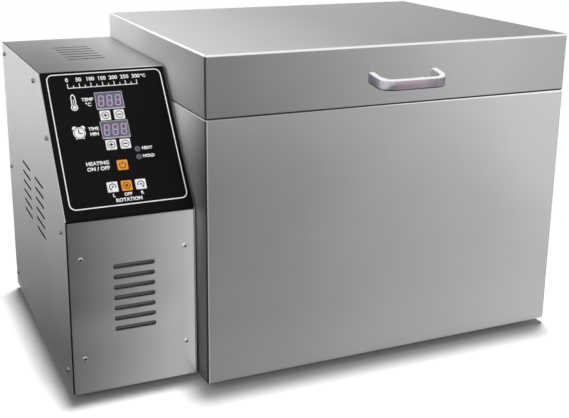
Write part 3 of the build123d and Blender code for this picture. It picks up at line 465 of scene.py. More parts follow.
sheets = {
    "casingSteel": {
        "on": ["casing_wrap"],
        "dark": (0.39, 0.39, 0.385), "light": (0.65, 0.65, 0.64), "crest": (0.42, 0.42, 0.415),
        "paintedShading": [
            # painted shade and reflection: direction, start, end, change of tone from and to
            ((1, 0, 0), -0.55, 0.5, 0.0, 1.0), ((0, 0, 1), 0.05, 0.15, 0.0, -0.1),
            ((1, 0, 1), 0.4, 0.62, 0.0, 0.35), ((-1, 0, 1), 0.2, 0.4, 0.0, -0.15),
            ((1, 0, 4), 1.0, 1.3, 0.0, 0.13), ((0, 0, 1), 0.03, 0.09, 0.1, 0.0),
        ],
        "satin": ((0, 13, 2), -2.056, -0.853, (0.13, 0.13, 0.13), (1.0, 1.0, 0.99)),
        "right": (0.72, 0.72, 0.72),
        "leftFoldHighlight": (0.8, -0.19, -0.12, (0.9, 0.9, 0.9), (1.0, 1.0, 1.0)),
        "rimHighlight": ((3, 0, 400), 133.0, 133.2, (1.0, 1.0, 1.0)),
        "hairlineHighlight": (1.0, 1.0, 1.0),
    },
    "lidSteel": {
        "on": ["lid_shell"], "rough": 0.34,
        "dark": (0.31, 0.31, 0.305), "light": (0.64, 0.64, 0.63), "crest": (0.95, 0.95, 0.95),
        # painted reflection: sides lighter to the right, darker at the far right; top darker to the right
        "paintedShading": [((1, 0, 0), -0.14, 0.16, 0.0, 0.7), ((1, 0, 0), 0.22, 0.33, 0.0, -0.28)],
        "top": [((1, 0, 0), -0.17, 0.1, 0.98, 0.43), ((1, 0, 0), 0.1, 0.3, 0.0, 0.17)],
        "satin": ((0, 1, 0), -0.2, 0.1, (0.27, 0.27, 0.265), (0.97, 0.97, 0.96)),
        "right": (0.85, 0.85, 0.85),
        "leftFoldHighlight": (4.0, -0.02, 0.14, (1.0, 1.0, 1.0), (0.5, 0.5, 0.5)),
    },
    "controlSteel": {
        "on": ["control_shell", "control_inner_wall"], "uneven": (0.02, 0.04),
        "dark": (0.075, 0.075, 0.08), "light": (0.5, 0.5, 0.5), "crest": (0.27, 0.27, 0.275),
        # painted shade: sides lighter upwards, top lighter to the right
        "paintedShading": [((0, 0, 1), 0.0, 0.4, 0.75, 0.95),
                  ((0, 0, 1), 0.3702, 0.3708, 0.0, -1.2)],  # painted shade: walls of the top slots are painted dark
        "top": [((1, 0, 0), -0.32, -0.185, 0.045, 0.77), ((2, 0.5, 0), -0.55, -0.29, 0.0, 0.26)],
        "glint": (-0.29, -0.2, (1.0, 1.0, 1.0)),
    },
    "coverSteel": {
        "on": ["front_cover"], "bend": 0.0, "uneven": (0.012, 0.02),
        "dark": (0.22, 0.22, 0.22), "light": (0.92, 0.92, 0.91),
        # painted reflection: lighter to the right and near the bottom
        "paintedShading": [((1, 0, 0), -0.335, -0.18, 0.0, 1.0), ((0, 0, 1), 0.085, 0.125, 0.17, 0.0)],
    },
    "sideSteel": {
        "on": ["side_cover"],
        # edge: painted shade, near black, on cut edges and slot walls
        "dark": (0.45, 0.45, 0.45), "light": (0.55, 0.55, 0.55), "edge": (0.012, 0.012, 0.012),
        # painted shade: darker towards the bottom
        "paintedShading": [((0, 0, 1), 0.0, 0.36, 0.0, 1.0)],
    },
    "backSteel": {
        "on": ["casing_rear", "casing_floor"], "rough": 0.4, "bump": 0.05,
        "dark": (0.36, 0.36, 0.355), "light": (0.52, 0.52, 0.51),
        # painted shade: darker towards the left and the bottom
        "paintedShading": [((1, 0, 0), -0.17, 0.33, 0.15, 0.6), ((0, 0, 1), 0.0, 0.33, 0.0, 0.3)],
    },
    "ovenSteel": {
        "on": ["chamber_liner", "lid_pan", "drum_shell", "drum_ends", "lifting_vanes", "hatch_rails",
               "drum_hatch", "shaft_sleeve", "element_bracket"],
        "dark": (0.35, 0.33, 0.3), "light": (0.58, 0.565, 0.54),
        "lines": (4.0, 4.0, 600.0), "topLines": (4.0, 600.0, 4.0),
        "rough": 0.33, "bump": 0.025, "uneven": (0.03, 0.09),
    },
}
for name, opts in sheets.items():
    dress(brushedSheet(name, opts), opts["on"])

finishes = {
    "turnedSteel": {
        "on": ["drum_tongue", "drum_journal", "drum_saddle", "drive_fork", "drive_shaft", "shaft_coupling",
               "motor_shaft", "motor_standoffs", "hatch_knob", "temperature_probe"],
        "dark": (0.5, 0.5, 0.5), "light": (0.66, 0.66, 0.66),
        "scale": 900.0, "rough": 0.26, "metal": 1.0, "bump": 0.04,
    },
    "hingeSteel": {
        "on": ["hinge_body_leaves", "hinge_lid_leaves", "hinge_pins"],
        "dark": (0.21, 0.21, 0.21), "light": (0.31, 0.31, 0.305),
        "scale": 420.0, "rough": 0.3, "metal": 1.0, "bump": 0.06,
    },
    "brightScrew": {
        "dark": (0.78, 0.78, 0.78), "light": (0.96, 0.96, 0.96),
        "scale": 700.0, "rough": 0.16, "metal": 1.0, "bump": 0.03,
        # painted shade on the side screws and the left screws of the front
        "paintedLeftShade": [(-0.3, -0.2, (0.68, 0.68, 0.68)), (-0.324, -0.316, (0.5, 0.5, 0.52))],
    },
    # dark grey that also stands in for painted shade behind the slots
    "screenSteel": {"dark": (0.2, 0.2, 0.2), "light": (0.26, 0.26, 0.26), "scale": 400.0},
    "blackRubber": {
        "on": ["feet"], "dark": (0.018, 0.018, 0.018), "light": (0.045, 0.045, 0.045),
        "scale": 900.0, "rough": 0.75, "bump": 0.3,
    },
    "silicone": {
        "on": ["lid_seal"], "dark": (0.012, 0.012, 0.012), "light": (0.03, 0.03, 0.03),
        "scale": 500.0, "rough": 0.6, "bump": 0.15,
    },
    "mineralWool": {
        "on": ["wall_insulation", "lid_insulation"], "dark": (0.5, 0.45, 0.33), "light": (0.82, 0.77, 0.62),
        "scale": 350.0, "rough": 0.95, "bump": 0.8,
    },
    "spacerBoard": {
        "on": ["spacer_frame"], "dark": (0.06, 0.06, 0.06), "light": (0.12, 0.12, 0.12),
        "scale": 600.0, "rough": 0.8, "bump": 0.3,
    },
    "elementSheath": {
        "on": ["heating_element_front", "heating_element_rear"],
        "dark": (0.1, 0.085, 0.075), "light": (0.3, 0.27, 0.25),
        "scale": 240.0, "metal": 0.9, "bump": 0.12,
    },
    "castAlloy": {
        "on": ["drum_bearing", "gear_case"], "dark": (0.42, 0.42, 0.43), "light": (0.58, 0.58, 0.59),
        "scale": 500.0, "rough": 0.45, "metal": 1.0, "bump": 0.25,
    },
    "motorPaint": {
        "on": ["motor"], "dark": (0.2, 0.21, 0.23), "light": (0.27, 0.28, 0.3),
        "scale": 450.0, "rough": 0.4, "bump": 0.15, "coat": 0.2,
    },
    "panelFilm": {
        "on": ["key_panel"], "dark": (0.004, 0.0036, 0.0045), "light": (0.006, 0.0055, 0.0065),
        "scale": 1600.0, "rough": 0.4, "gloss": 0.06, "bump": 0.08,
    },
    "displayWindow": {
        "on": ["displays"], "dark": (0.115, 0.105, 0.15), "light": (0.15, 0.14, 0.19),
        "scale": 300.0, "rough": 0.18, "gloss": 0.4, "bump": 0.02,
    },
    "lampLens": {
        "on": ["indicator_lamps"], "dark": (0.06, 0.06, 0.085), "light": (0.13, 0.13, 0.17),
        "scale": 700.0, "rough": 0.2,
    },
    "greenBoard": {
        "on": ["control_board"], "dark": (0.01, 0.1, 0.035), "light": (0.02, 0.16, 0.06),
        "scale": 300.0, "rough": 0.35, "bump": 0.1,
    },
    "blackPlastic": {
        "on": ["tact_switches", "solid_state_relay", "terminal_block", "cable_gland", "gland_nut"],
        "dark": (0.015, 0.015, 0.016), "light": (0.032, 0.032, 0.034),
        "scale": 1100.0, "bump": 0.2,
    },
    "whiteKey": {
        "on": ["key_temperature_up", "key_temperature_down", "key_time_up", "key_time_down",
               "key_turn_left", "key_turn_right"],
        "dark": (0.88, 0.89, 0.9), "light": (0.95, 0.96, 0.97),
        "scale": 800.0, "rough": 0.35, "gloss": 0.4,
    },
    "orangeKey": {
        "on": ["key_heat", "key_turn_stop"], "dark": (0.82, 0.3, 0.025), "light": (0.92, 0.38, 0.045),
        "scale": 800.0, "rough": 0.35, "gloss": 0.4,
    },
    "whiteInk": {"dark": (0.92, 0.92, 0.92), "light": (0.98, 0.98, 0.98)},
    "darkInk": {"dark": (0.012, 0.012, 0.014), "light": (0.03, 0.03, 0.032)},
    "brownInk": {"dark": (0.13, 0.03, 0.004), "light": (0.22, 0.06, 0.01)},
    "segmentTint": {
        "dark": (0.34, 0.38, 0.56), "light": (0.54, 0.37, 0.53),
        "scale": 130.0, "detail": 1.0, "rough": 0.35, "bump": 0.0,
    },
    "windowEdge": {
        "dark": (0.36, 0.36, 0.4), "light": (0.6, 0.6, 0.63), "scale": 160.0, "rough": 0.35, "bump": 0.03,
    },
    "lampRim": {
        "dark": (0.2, 0.2, 0.22), "light": (0.3, 0.3, 0.32), "scale": 900.0, "rough": 0.4, "bump": 0.1,
    },
}
madeOf = {}
for name, opts in finishes.items():
    madeOf[name] = mottled(name, opts)
    dress(madeOf[name], opts.get("on", ()))
print("CAD pieces dressed")


# chromed handle of flat bar: two legs that rise towards the lid, wide bends and the grip between them,
# its colour painted with reflections: a painted highlight on top, painted shade below, bends painted lighter
# than the flats
handleSet = {
    "x": (35.0, 129.6), "lid": -199.0, "reach": 36.0, "turn": 21.0, "steps": 14, "bar": 7.5, "edge": 1.7,
    "grip": (357.2, 370.3), "root": (361.2, 375.4),  # lower and upper level
    "sharp": 50,
    # painted reflection: pinkish front, lighter near end, darker far end, bluish sides
    "front": (0.46, 0.38, 0.43), "grain": 0.97,
    "nearEndReflection": (0.0515, 0.0465, (0.74, 0.61, 0.69)), "farEndShade": (0.09, 0.108, (0.29, 0.27, 0.29)),
    "left": (0.44, 0.445, 0.52), "right": (0.8, 0.8, 0.86), "middle": (0.07, 0.09), "side": (0.7, 0.98),
    # how far a face is turned where a painted shade or highlight starts and where it is full, and its colour
    "bend": (0.12, 0.4, (0.5, 0.5, 0.57)), "farBendShade": (-0.12, -0.4, (0.2, 0.19, 0.21)),
    "back": (0.3, 0.6, (0.95, 0.95, 0.95)), "top": (0.08, 0.35, (1.0, 1.0, 1.0)),
    "underShade": (-0.08, -0.35, (0.03, 0.027, 0.03)), "bottom": (-0.75, -0.95, (0.45, 0.45, 0.47)),
    "stretch": (52.0, 52.0, 260.0), "detail": 3.0, "rough": (0.21, 0.31), "bump": 0.015, "depth": 0.0004,
    "metal": (0.2, 0.5, 1.0, 0.25),  # the top is less metallic
}


def chromedBar(name, opts):
    mat, tree, shader = fresh(name)
    coords = add(tree, "ShaderNodeTexCoord")
    x, y, z = facingOf(tree, coords)
    grain = grainOn(tree, opts["stretch"], opts["detail"])
    dark = tuple(opts["grain"] * c for c in opts["front"])
    colour = tint(tree, spread(tree, grain, 0.0, 1.0), dark, opts["front"])
    # painted reflections, highlights and shade along the bar and by how a face is turned
    for end in ("nearEndReflection", "farEndShade"):
        *way, shade = opts[end]
        colour = layer(tree, colour, ramp(tree, coords, (1, 0, 0), *way), shade)
    side = tint(tree, ramp(tree, coords, (1, 0, 0), *opts["middle"]), opts["left"], opts["right"])
    colour = layer(tree, colour, remap(tree, calc(tree, x, "ABSOLUTE"), *opts["side"]), side)
    bend = calc(tree, x, "MULTIPLY", y)
    turns = {"bend": bend, "farBendShade": bend, "back": y, "top": z, "underShade": z, "bottom": z}
    for part, turn in turns.items():
        *way, shade = opts[part]
        colour = layer(tree, colour, remap(tree, turn, *way), shade)
    rough, metal = spread(tree, grain, *opts["rough"]), remap(tree, z, *opts["metal"])
    bump = bumpFrom(tree, grain, opts["bump"], opts["depth"])
    wire(tree, shader, {"Base Color": colour, "Roughness": rough, "Metallic": metal, "Normal": bump})
    return mat


def handleBar(opts):
    bm = bmesh.new()
    left, right = opts["x"]
    low, high = opts["grip"]
    turn, leg = opts["turn"], opts["reach"] - opts["turn"]
    upright = Matrix.Rotation(math.radians(90), 4, "X") @ Matrix.Diagonal((opts["bar"], high - low, 1, 1))
    place = Matrix.Translation((left + opts["bar"] / 2, opts["lid"], (low + high) / 2))
    grid = bmesh.ops.create_grid(bm, x_segments=1, y_segments=1, size=0.5, matrix=place @ upright)
    bmesh.ops.bevel(bm, geom=grid["verts"], offset=opts["edge"], affect="VERTICES", segments=4,
                    profile=0.5, material=-1)
    bmesh.ops.delete(bm, geom=bm.faces[:], context="FACES_ONLY")
    first = bm.edges[:]
    edges = drawOn(bm, first, (0, -leg, 0))
    for x, way in ((left + turn, (right - left - 2 * turn, 0, 0)), (right - turn, (0, leg, 0))):
        ring = list({v for e in edges for v in e.verts})
        turned = bmesh.ops.spin(bm, geom=[*ring, *edges], cent=(x, opts["lid"] - leg, 0), axis=(0, 0, 1),
                                angle=math.radians(90), steps=opts["steps"])
        edges = drawOn(bm, edgesOf(turned["geom_last"]), way)
    for end in (first, edges):
        bmesh.ops.contextual_create(bm, geom=end)
    inner = opts["lid"] - opts["reach"] + opts["bar"]
    for vert in bm.verts:  # the legs rise from the grip to the lid
        back = max(0.0, (vert.co.y - inner) / (opts["lid"] - inner))
        bottom, top = (grip + back * (root - grip) for grip, root in zip(opts["grip"], opts["root"]))
        vert.co.z = bottom + (vert.co.z - low) / (high - low) * (top - bottom)
    return inMetres(bm)


handle = placed(handleBar(handleSet), "handleBar", chromedBar("handleChrome", handleSet), "lid")
smoothed(handle, handleSet["sharp"])
handle.visible_glossy = handle.visible_shadow = False  # no smear on the brushed lid, no blot on the floor
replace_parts(handle, "handle")
print("handle bent")


# pan-head screws with a cross recess, in place of the plain ones of the frame
screwSet = {
    "head": 3.0, "high": 2.2, "seat": 1.22, "sharp": 38, "turn": 37,
    "dome": [(0.8, 0.22), (0.93, 0.55), (1.0, 1.3), (1.0, 2.2)],  # share of the head, depth
    "recess": 1.1, "arm": 1.55, "armWide": 0.95, "slant": 0.12,
    "shank": 1.5, "long": 6.0,
    "tip": [(1.0, 0.0), (1.0, 0.8), (0.3, 1.0)],  # share of the shank, share of its length
    "side": {"x": -326.15, "at": [(198, 31), (198, 194), (198, 357.07), (-16.59, 357.07), (-83.75, 300.93),
                                  (-142, 204), (-142, 31)]},
    "front": {"y": -165.0, "at": [(x, z) for x in (-310.85, -186.45) for z in (53, 176)]},
    "rear": {"y": 213.0, "at": [(x, z) for x in (-162.65, 319.35) for z in (38.0, 126.33, 214.67, 303.0)]},
    "leaf": {"y": 215.0, "x": (-94.65, -71.65, -48.65, 205.35, 228.35, 251.35), "size": 0.72,
             "levels": {"casing": 314.0, "lid": 354.0}},
}


def ringOut(bm, edges, radius, level):
    verts, ends = extruded(bm, edges)
    for vert in verts:
        vert.co.xy = vert.co.xy.normalized() * radius
        vert.co.z = level
    return ends


def screwShape(opts):
    bm = bmesh.new()
    wide, arm, high = opts["armWide"], opts["arm"], opts["high"]
    bmesh.ops.create_grid(bm, x_segments=1, y_segments=1, size=wide / 2)
    for edge in bm.edges[:]:  # four arms of the recess
        away = (edge.verts[0].co + edge.verts[1].co).normalized()
        drawOn(bm, [edge], away * (arm - wide / 2))
    cross = bm.faces[:]
    bmesh.ops.subdivide_edges(bm, edges=[e for e in bm.edges if e.is_boundary], cuts=1)
    outline = [e for e in bm.edges if e.is_boundary]
    ring = bmesh.ops.create_circle(bm, segments=24, radius=arm * opts["seat"])["verts"]
    edges = list({e for v in ring for e in v.link_edges})
    bmesh.ops.bridge_loops(bm, edges=[*outline, *edges])
    for share, depth in opts["dome"]:
        edges = ringOut(bm, edges, share * opts["head"], -depth)
    for share, length in opts["tip"]:
        edges = ringOut(bm, edges, share * opts["shank"], -high - length * opts["long"])
    bmesh.ops.contextual_create(bm, geom=edges)
    bmesh.ops.inset_region(bm, faces=cross, thickness=opts["slant"], depth=-opts["recess"],
                           use_even_offset=True)
    bmesh.ops.translate(bm, verts=bm.verts, vec=(0, 0, high))
    bmesh.ops.recalc_face_normals(bm, faces=bm.faces)
    mesh = bpy.data.meshes.new("screwShape")
    bm.to_mesh(mesh)
    bm.free()
    return mesh


def onWall(x, y, z, outward):
    turned = Vector(outward).to_track_quat("Z", "Y").to_matrix().to_4x4()
    return Matrix.Translation((x / 1000, y / 1000, z / 1000)) @ turned @ Matrix.Scale(0.001, 4)


def screwsOn(name, body, shape, places, size=1.0):
    bm = bmesh.new()
    for number, place in enumerate(places):
        before = len(bm.verts)
        bm.from_mesh(shape)
        turn = Matrix.Rotation(math.radians(number * screwSet["turn"]), 4, "Z") @ Matrix.Scale(size, 4)
        bmesh.ops.transform(bm, verts=bm.verts[before:], matrix=place @ turn)
    piece = placed(bm, name, madeOf["brightScrew"], body)
    smoothed(piece, screwSet["sharp"])
    return piece


side, front, rear, leaf = (screwSet[wall] for wall in ("side", "front", "rear", "leaf"))
walls = [onWall(side["x"], y, z, (-1, 0, 0)) for y, z in side["at"]]
walls += [onWall(x, front["y"], z, (0, -1, 0)) for x, z in front["at"]]
walls += [onWall(x, rear["y"], z, (0, 1, 0)) for x, z in rear["at"]]
screw = screwShape(screwSet)
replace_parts(screwsOn("panelScrews", "casing", screw, walls), "panel_screws")
for body, z in leaf["levels"].items():
    places = [onWall(x, leaf["y"], z, (0, 1, 0)) for x in leaf["x"]]
    screwsOn(body + "LeafScrews", body, screw, places, leaf["size"])
print("screws set")


# punched dust screen behind the front slots, in a pressed tray; its dark grey also stands in for the shade
# behind the slots
screenSet = {
    "x": (-286.0, -211.0), "z": (70.0, 174.0), "y": -163.7,
    "deep": 2.0, "rim": 5.0, "wall": 0.6, "sheet": 0.5, "pitch": 2.6, "bar": 1.1, "near": 0.01,
}


def dustScreen(opts):
    bm = bmesh.new()
    half = [(opts[axis][1] - opts[axis][0]) / 2 - opts["rim"] for axis in ("x", "z")]
    across, along = (round(2 * side / opts["pitch"]) for side in half)
    stretch = Matrix.Diagonal((*half, 1, 1))
    bmesh.ops.create_grid(bm, x_segments=across, y_segments=along, size=1.0, matrix=stretch)
    cells = bm.faces[:]
    edges = [e for e in bm.edges if e.is_boundary]
    for share in (opts["wall"], 1.0):  # wall of the tray, then its flange
        verts, edges = extruded(bm, edges)
        for vert in verts:
            vert.co.z = opts["deep"]
            for axis, reach in enumerate(half):
                if abs(vert.co[axis]) > reach - opts["near"]:
                    vert.co[axis] = math.copysign(reach + opts["rim"] * share, vert.co[axis])
    bmesh.ops.inset_individual(bm, faces=cells, thickness=opts["bar"] / 2, use_even_offset=True)
    bmesh.ops.delete(bm, geom=cells, context="FACES")
    bmesh.ops.recalc_face_normals(bm, faces=bm.faces)
    bmesh.ops.solidify(bm, geom=bm.faces[:], thickness=opts["sheet"])
    bmesh.ops.recalc_face_normals(bm, faces=bm.faces)
    high = max(v.co.z for v in bm.verts)
    place = onWall(sum(opts["x"]) / 2, opts["y"], sum(opts["z"]) / 2, (0, -1, 0))
    bmesh.ops.transform(bm, verts=bm.verts, matrix=place @ Matrix.Translation((0, 0, -high)))
    return bm


placed(dustScreen(screenSet), "dustScreen", madeOf["screenSteel"], "casing")
print("dust screen set")


# rubber strip in the joint between the side cover and the front cover; its black also stands in for the shade
# in the joint
stripSet = {"x": (-324.9, -324.2), "y": (-164.7, -163.85), "z": (9.0, 219.0), "edge": 0.2}


def sealStrip(opts):
    bm = bmesh.new()
    sides = (opts["x"], opts["y"], opts["z"])
    middle, size = zip(*(((a + b) / 2000, (b - a) / 1000) for a, b in sides))
    bmesh.ops.create_cube(bm, size=1.0, matrix=Matrix.Translation(middle) @ Matrix.Diagonal((*size, 1)))
    front = [e for e in bm.edges if all(v.co.y < middle[1] for v in e.verts)]
    bmesh.ops.bevel(bm, geom=front, offset=opts["edge"] / 1000, affect="EDGES", segments=3, profile=0.5,
                    material=-1)
    return bm


placed(sealStrip(stripSet), "coverSeal", madeOf["silicone"], "casing")
print("joint sealed")


# flat shapes for the print on the panel, drawn in millimetres and thickened to a coat of ink
panelSet = {
    "origin": (-0.24865, -0.051093, 0.372067),  # top edge of the slope, on the keys' centre line
    "slope": 37.2, "film": 0.6, "window": 0.4, "keyTop": 1.4, "ink": 0.1, "sunk": 0.03,
    "fontSize": 1.38,  # for a capital one unit high
}
lean = math.radians(panelSet["slope"])
panelPlane = Matrix((
    (1, 0, 0), (0, math.sin(lean), -math.cos(lean)), (0, math.cos(lean), math.sin(lean)),
)).to_4x4()
panelPlane = Matrix.Translation(panelSet["origin"]) @ panelPlane @ Matrix.Scale(0.001, 4)


def onPanel(at, turn=0.0):
    return Matrix.Translation((*at, 0)) @ Matrix.Rotation(math.radians(turn), 4, "Z")


def barInto(bm, wide, high, at, turn=0.0):
    place = onPanel(at, turn) @ Matrix.Diagonal((wide, high, 1, 1))
    return bmesh.ops.create_grid(bm, x_segments=1, y_segments=1, size=0.5, matrix=place)["verts"]


def discInto(bm, radius, at, segments=28, turn=0.0):
    place = onPanel(at, turn)
    return bmesh.ops.create_circle(bm, cap_ends=True, segments=segments, radius=radius, matrix=place)["verts"]


def hollow(bm, faces, width):
    bmesh.ops.inset_region(bm, faces=faces, thickness=width, use_boundary=True, use_even_offset=True)
    bmesh.ops.delete(bm, geom=faces, context="FACES")


def ringInto(bm, radius, width, at):
    verts = discInto(bm, radius, at)
    hollow(bm, [verts[0].link_faces[0]], width)


def frameInto(bm, wide, high, at, corner, width):
    verts = barInto(bm, wide, high, at)
    rounded = bmesh.ops.bevel(bm, geom=verts, offset=corner, affect="VERTICES", segments=8, profile=0.5,
                              material=-1)
    hollow(bm, [rounded["verts"][0].link_faces[0]], width)


def arcInto(bm, radius, width, at, start, sweep):
    middle = (*at, 0)
    ends = [bm.verts.new((at[0] + edge, at[1], 0)) for edge in (radius, radius - width)]
    bmesh.ops.rotate(bm, cent=middle, verts=ends, matrix=Matrix.Rotation(math.radians(start), 3, "Z"))
    edge = bm.edges.new(ends)
    bmesh.ops.spin(bm, geom=[*ends, edge], cent=middle, axis=(0, 0, 1), angle=math.radians(sweep), steps=20)


def lettersInto(bm, text, high, at, weight):
    data = bpy.data.curves.new("letters", "FONT")
    data.body = text
    data.size = high * panelSet["fontSize"]
    data.align_x = data.align_y = "CENTER"
    data.resolution_u = 3
    data.offset = weight
    shown = bpy.data.objects.new("letters", data)
    flat = bpy.data.meshes.new_from_object(shown)
    flat.transform(Matrix.Translation((*at, 0)))
    bm.from_mesh(flat)
    bpy.data.objects.remove(shown)
    bpy.data.meshes.remove(flat)


def inked(bm, name, finish, body, lift):
    bmesh.ops.remove_doubles(bm, verts=bm.verts, dist=0.002)
    bmesh.ops.solidify(bm, geom=bm.faces[:], thickness=panelSet["ink"])
    bmesh.ops.recalc_face_normals(bm, faces=bm.faces)
    low = min(v.co.z for v in bm.verts)
    bmesh.ops.translate(bm, verts=bm.verts, vec=(0, 0, lift - panelSet["sunk"] - low))
    bmesh.ops.transform(bm, verts=bm.verts, matrix=panelPlane)
    placed(bm, name, madeOf[finish], body)


# lip of the lid's seal, along the lower edge of the lid; its black also stands in for the shade in the seam
lipSet = {"inset": 0.5, "line": 1.4, "corner": 2.4, "clear": 0.35}


def sealLip(opts):
    (x0, y0, low), (x1, y1, _) = [1000 * Vector(c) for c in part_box("lid_shell")]
    foot = 1000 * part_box("casing_wrap")[1][2] + opts["clear"]
    bm = bmesh.new()
    wide, deep = x1 - x0 - 2 * opts["inset"], y1 - y0 - 2 * opts["inset"]
    frameInto(bm, wide, deep, ((x0 + x1) / 2, (y0 + y1) / 2), opts["corner"], opts["line"])
    top = vertsOf(bmesh.ops.extrude_face_region(bm, geom=bm.faces[:])["geom"])
    bmesh.ops.translate(bm, verts=top, vec=(0, 0, low - foot))
    bmesh.ops.translate(bm, verts=bm.verts, vec=(0, 0, foot))
    return inMetres(bm)


placed(sealLip(lipSet), "sealLip", madeOf["silicone"], "lid")
print("lid sealed")


# foot of the film, folded round the bend above the front cover
footSet = {
    "x": (-324.9, -174.4), "bend": (-162.6, 221.19), "radius": 2.41, "low": 220.05, "up": 1.3, "thick": 0.12,
    "steps": 6,
}


def filmFoot(opts):
    bm = bmesh.new()
    y, z = opts["bend"]
    ends = [bm.verts.new((x, y - opts["radius"], z)) for x in opts["x"]]
    first = bm.edges.new(ends)
    turned = bmesh.ops.spin(bm, geom=[*ends, first], cent=(0, y, z), axis=(1, 0, 0), angle=-lean,
                            steps=opts["steps"])
    last = edgesOf(turned["geom_last"])
    drawOn(bm, [first], (0, 0, opts["low"] - z))
    drawOn(bm, last, (0, opts["up"] * math.sin(lean), opts["up"] * math.cos(lean)))
    bmesh.ops.recalc_face_normals(bm, faces=bm.faces)
    if bm.faces[0].normal.y > 0:
        bmesh.ops.reverse_faces(bm, faces=bm.faces)
    bmesh.ops.solidify(bm, geom=bm.faces[:], thickness=-opts["thick"])
    return inMetres(bm)


placed(filmFoot(footSet), "filmFoot", madeOf["panelFilm"], "casing")


# white print on the film: a frame, a thermometer, a clock, a scale and plain words
printSet = {
    "frame": {"wide": 139.9, "high": 171.9, "at": (0.15, -89.95), "corner": 8.0, "width": 1.3},
    "thermometer": {
        "at": (-42.6, -42.0), "bulb": 4.3, "high": 21.7, "line": 1.35, "crown": 0.6, "stretch": 3.4,
        "drop": 2.2, "column": {"wide": 0.9, "high": 0.42, "up": 0.28},
    },
    "clock": {
        "at": (-42.6, -81.6), "radius": 7.3, "line": 0.95, "gap": 0.55,
        "bell": 2.9, "bellOut": 0.4, "bellCut": 0.5, "bellWay": (0.62, 0.78),
        "leg": (1.2, 1.6), "legAt": (4.2, -7.2), "legTurn": 34,
        "hands": [((1.15, 5.4), (-0.4, 2.1), 0), ((3.6, 1.15), (1.9, -0.5), -14)],  # size, place, turn
    },
    "scale": {
        "start": -46.0, "step": 7.0, "marks": 13, "each": 25, "foot": -22.6, "line": 0.95,
        "long": 5.2, "short": 3.0, "numbers": -12.6, "digit": 5.0,
    },
    "weight": 0.26,
    "words": [
        # text, height, place
        ("TEMP", 4.2, (-25.9, -39.6)), ("\u00b0C", 4.6, (-25.9, -46.2)),
        ("TIME", 4.2, (-25.3, -77.9)), ("MIN", 4.2, (-25.3, -84.6)),
        ("HEATING", 4.6, (-28.5, -121.8)), ("ON / OFF", 4.6, (-28.5, -128.6)),
        ("L", 3.8, (-16.75, -163.2)), ("OFF", 3.8, (0.0, -163.2)), ("R", 3.8, (16.75, -163.2)),
        ("ROTATION", 4.4, (0.0, -169.6)),
        ("HEAT", 3.7, (33.5, -107.9)), ("HOLD", 3.7, (33.5, -118.0)), ("\u00b0C", 4.2, (47.0, -12.6)),
    ],
}


def thermometerInto(bm, opts):
    x, y = opts["at"]
    top = y + opts["high"] / 2
    foot = y - opts["high"] / 2 + opts["bulb"]
    verts = discInto(bm, opts["bulb"], (x, foot), segments=24)
    crown = [v for v in verts if v.co.y > foot + opts["bulb"] * opts["crown"]]
    edges = [e for e in {e for v in crown for e in v.link_edges} if all(v in crown for v in e.verts)]
    tube, _ = extruded(bm, edges)
    shoulder = min(v.co.y for v in tube)
    stretch = (1, opts["stretch"], 1)
    bmesh.ops.scale(bm, verts=tube, vec=stretch, space=Matrix.Translation((0, -shoulder, 0)))
    bmesh.ops.translate(bm, verts=tube, vec=(0, top - max(v.co.y for v in tube), 0))
    hollow(bm, list({f for v in [*verts, *tube] for f in v.link_faces}), opts["line"])
    discInto(bm, opts["drop"], (x, foot), segments=16)
    column = opts["column"]
    barInto(bm, column["wide"], opts["high"] * column["high"], (x, foot + opts["high"] * column["up"]))


def clockInto(bm, opts):
    middle = Vector(opts["at"])
    ringInto(bm, opts["radius"], opts["line"], middle)
    discInto(bm, opts["radius"] - opts["line"] - opts["gap"], middle)
    for side in (-1, 1):
        away = Vector((side * opts["bellWay"][0], opts["bellWay"][1]))
        bell = discInto(bm, opts["bell"], middle + away * (opts["radius"] + opts["bellOut"]), segments=20)
        geom = [*bell, *bell[0].link_faces, *{e for v in bell for e in v.link_edges}]
        cut = middle + away * (opts["radius"] + opts["bellCut"])
        bmesh.ops.bisect_plane(bm, geom=geom, plane_co=(*cut, 0), plane_no=(*away, 0), clear_inner=True)
        foot = middle + Vector((side * opts["legAt"][0], opts["legAt"][1]))
        barInto(bm, *opts["leg"], foot, side * opts["legTurn"])


def scaleInto(bm, opts, weight):
    for mark in range(opts["marks"]):
        x = opts["start"] + mark * opts["step"]
        high = opts["short"] if mark % 2 else opts["long"]
        barInto(bm, opts["line"], high, (x, opts["foot"] + high / 2))
        if mark % 2 == 0:
            lettersInto(bm, str(mark * opts["each"]), opts["digit"], (x, opts["numbers"]), weight)
    length = opts["step"] * (opts["marks"] - 1)
    middle = (opts["start"] + length / 2, opts["foot"] - opts["line"] / 2)
    barInto(bm, length + opts["line"], opts["line"], middle)


ink = bmesh.new()
frameInto(ink, **printSet["frame"])
thermometerInto(ink, printSet["thermometer"])
clockInto(ink, printSet["clock"])
scaleInto(ink, printSet["scale"], printSet["weight"])
for text, high, at in printSet["words"]:
    lettersInto(ink, text, high, at, printSet["weight"])
inked(ink, "panelPrint", "whiteInk", "casing", panelSet["film"])

hands = bmesh.new()
for size, place, turn in printSet["clock"]["hands"]:
    barInto(hands, *size, Vector(printSet["clock"]["at"]) + Vector(place), turn)
inked(hands, "clockHands", "darkInk", "casing", panelSet["film"] + panelSet["ink"])
print("panel printed")


# seven-segment digits behind the display windows, with the pale edges of the windows
digitSet = {
    "rows": (-42.5, -80.6), "columns": (-9.9, 0.3, 10.5),
    "wide": 5.6, "high": 13.2, "line": 1.5, "slant": 0.1, "gap": 0.25,
    "point": 0.577,  # a hexagon's radius, as a share of its width
    "window": {"wide": 33.6, "high": 22.9, "corner": 0.4, "width": 0.8},
    "sill": (31.8, 0.9), "sillDrop": 10.1,
}


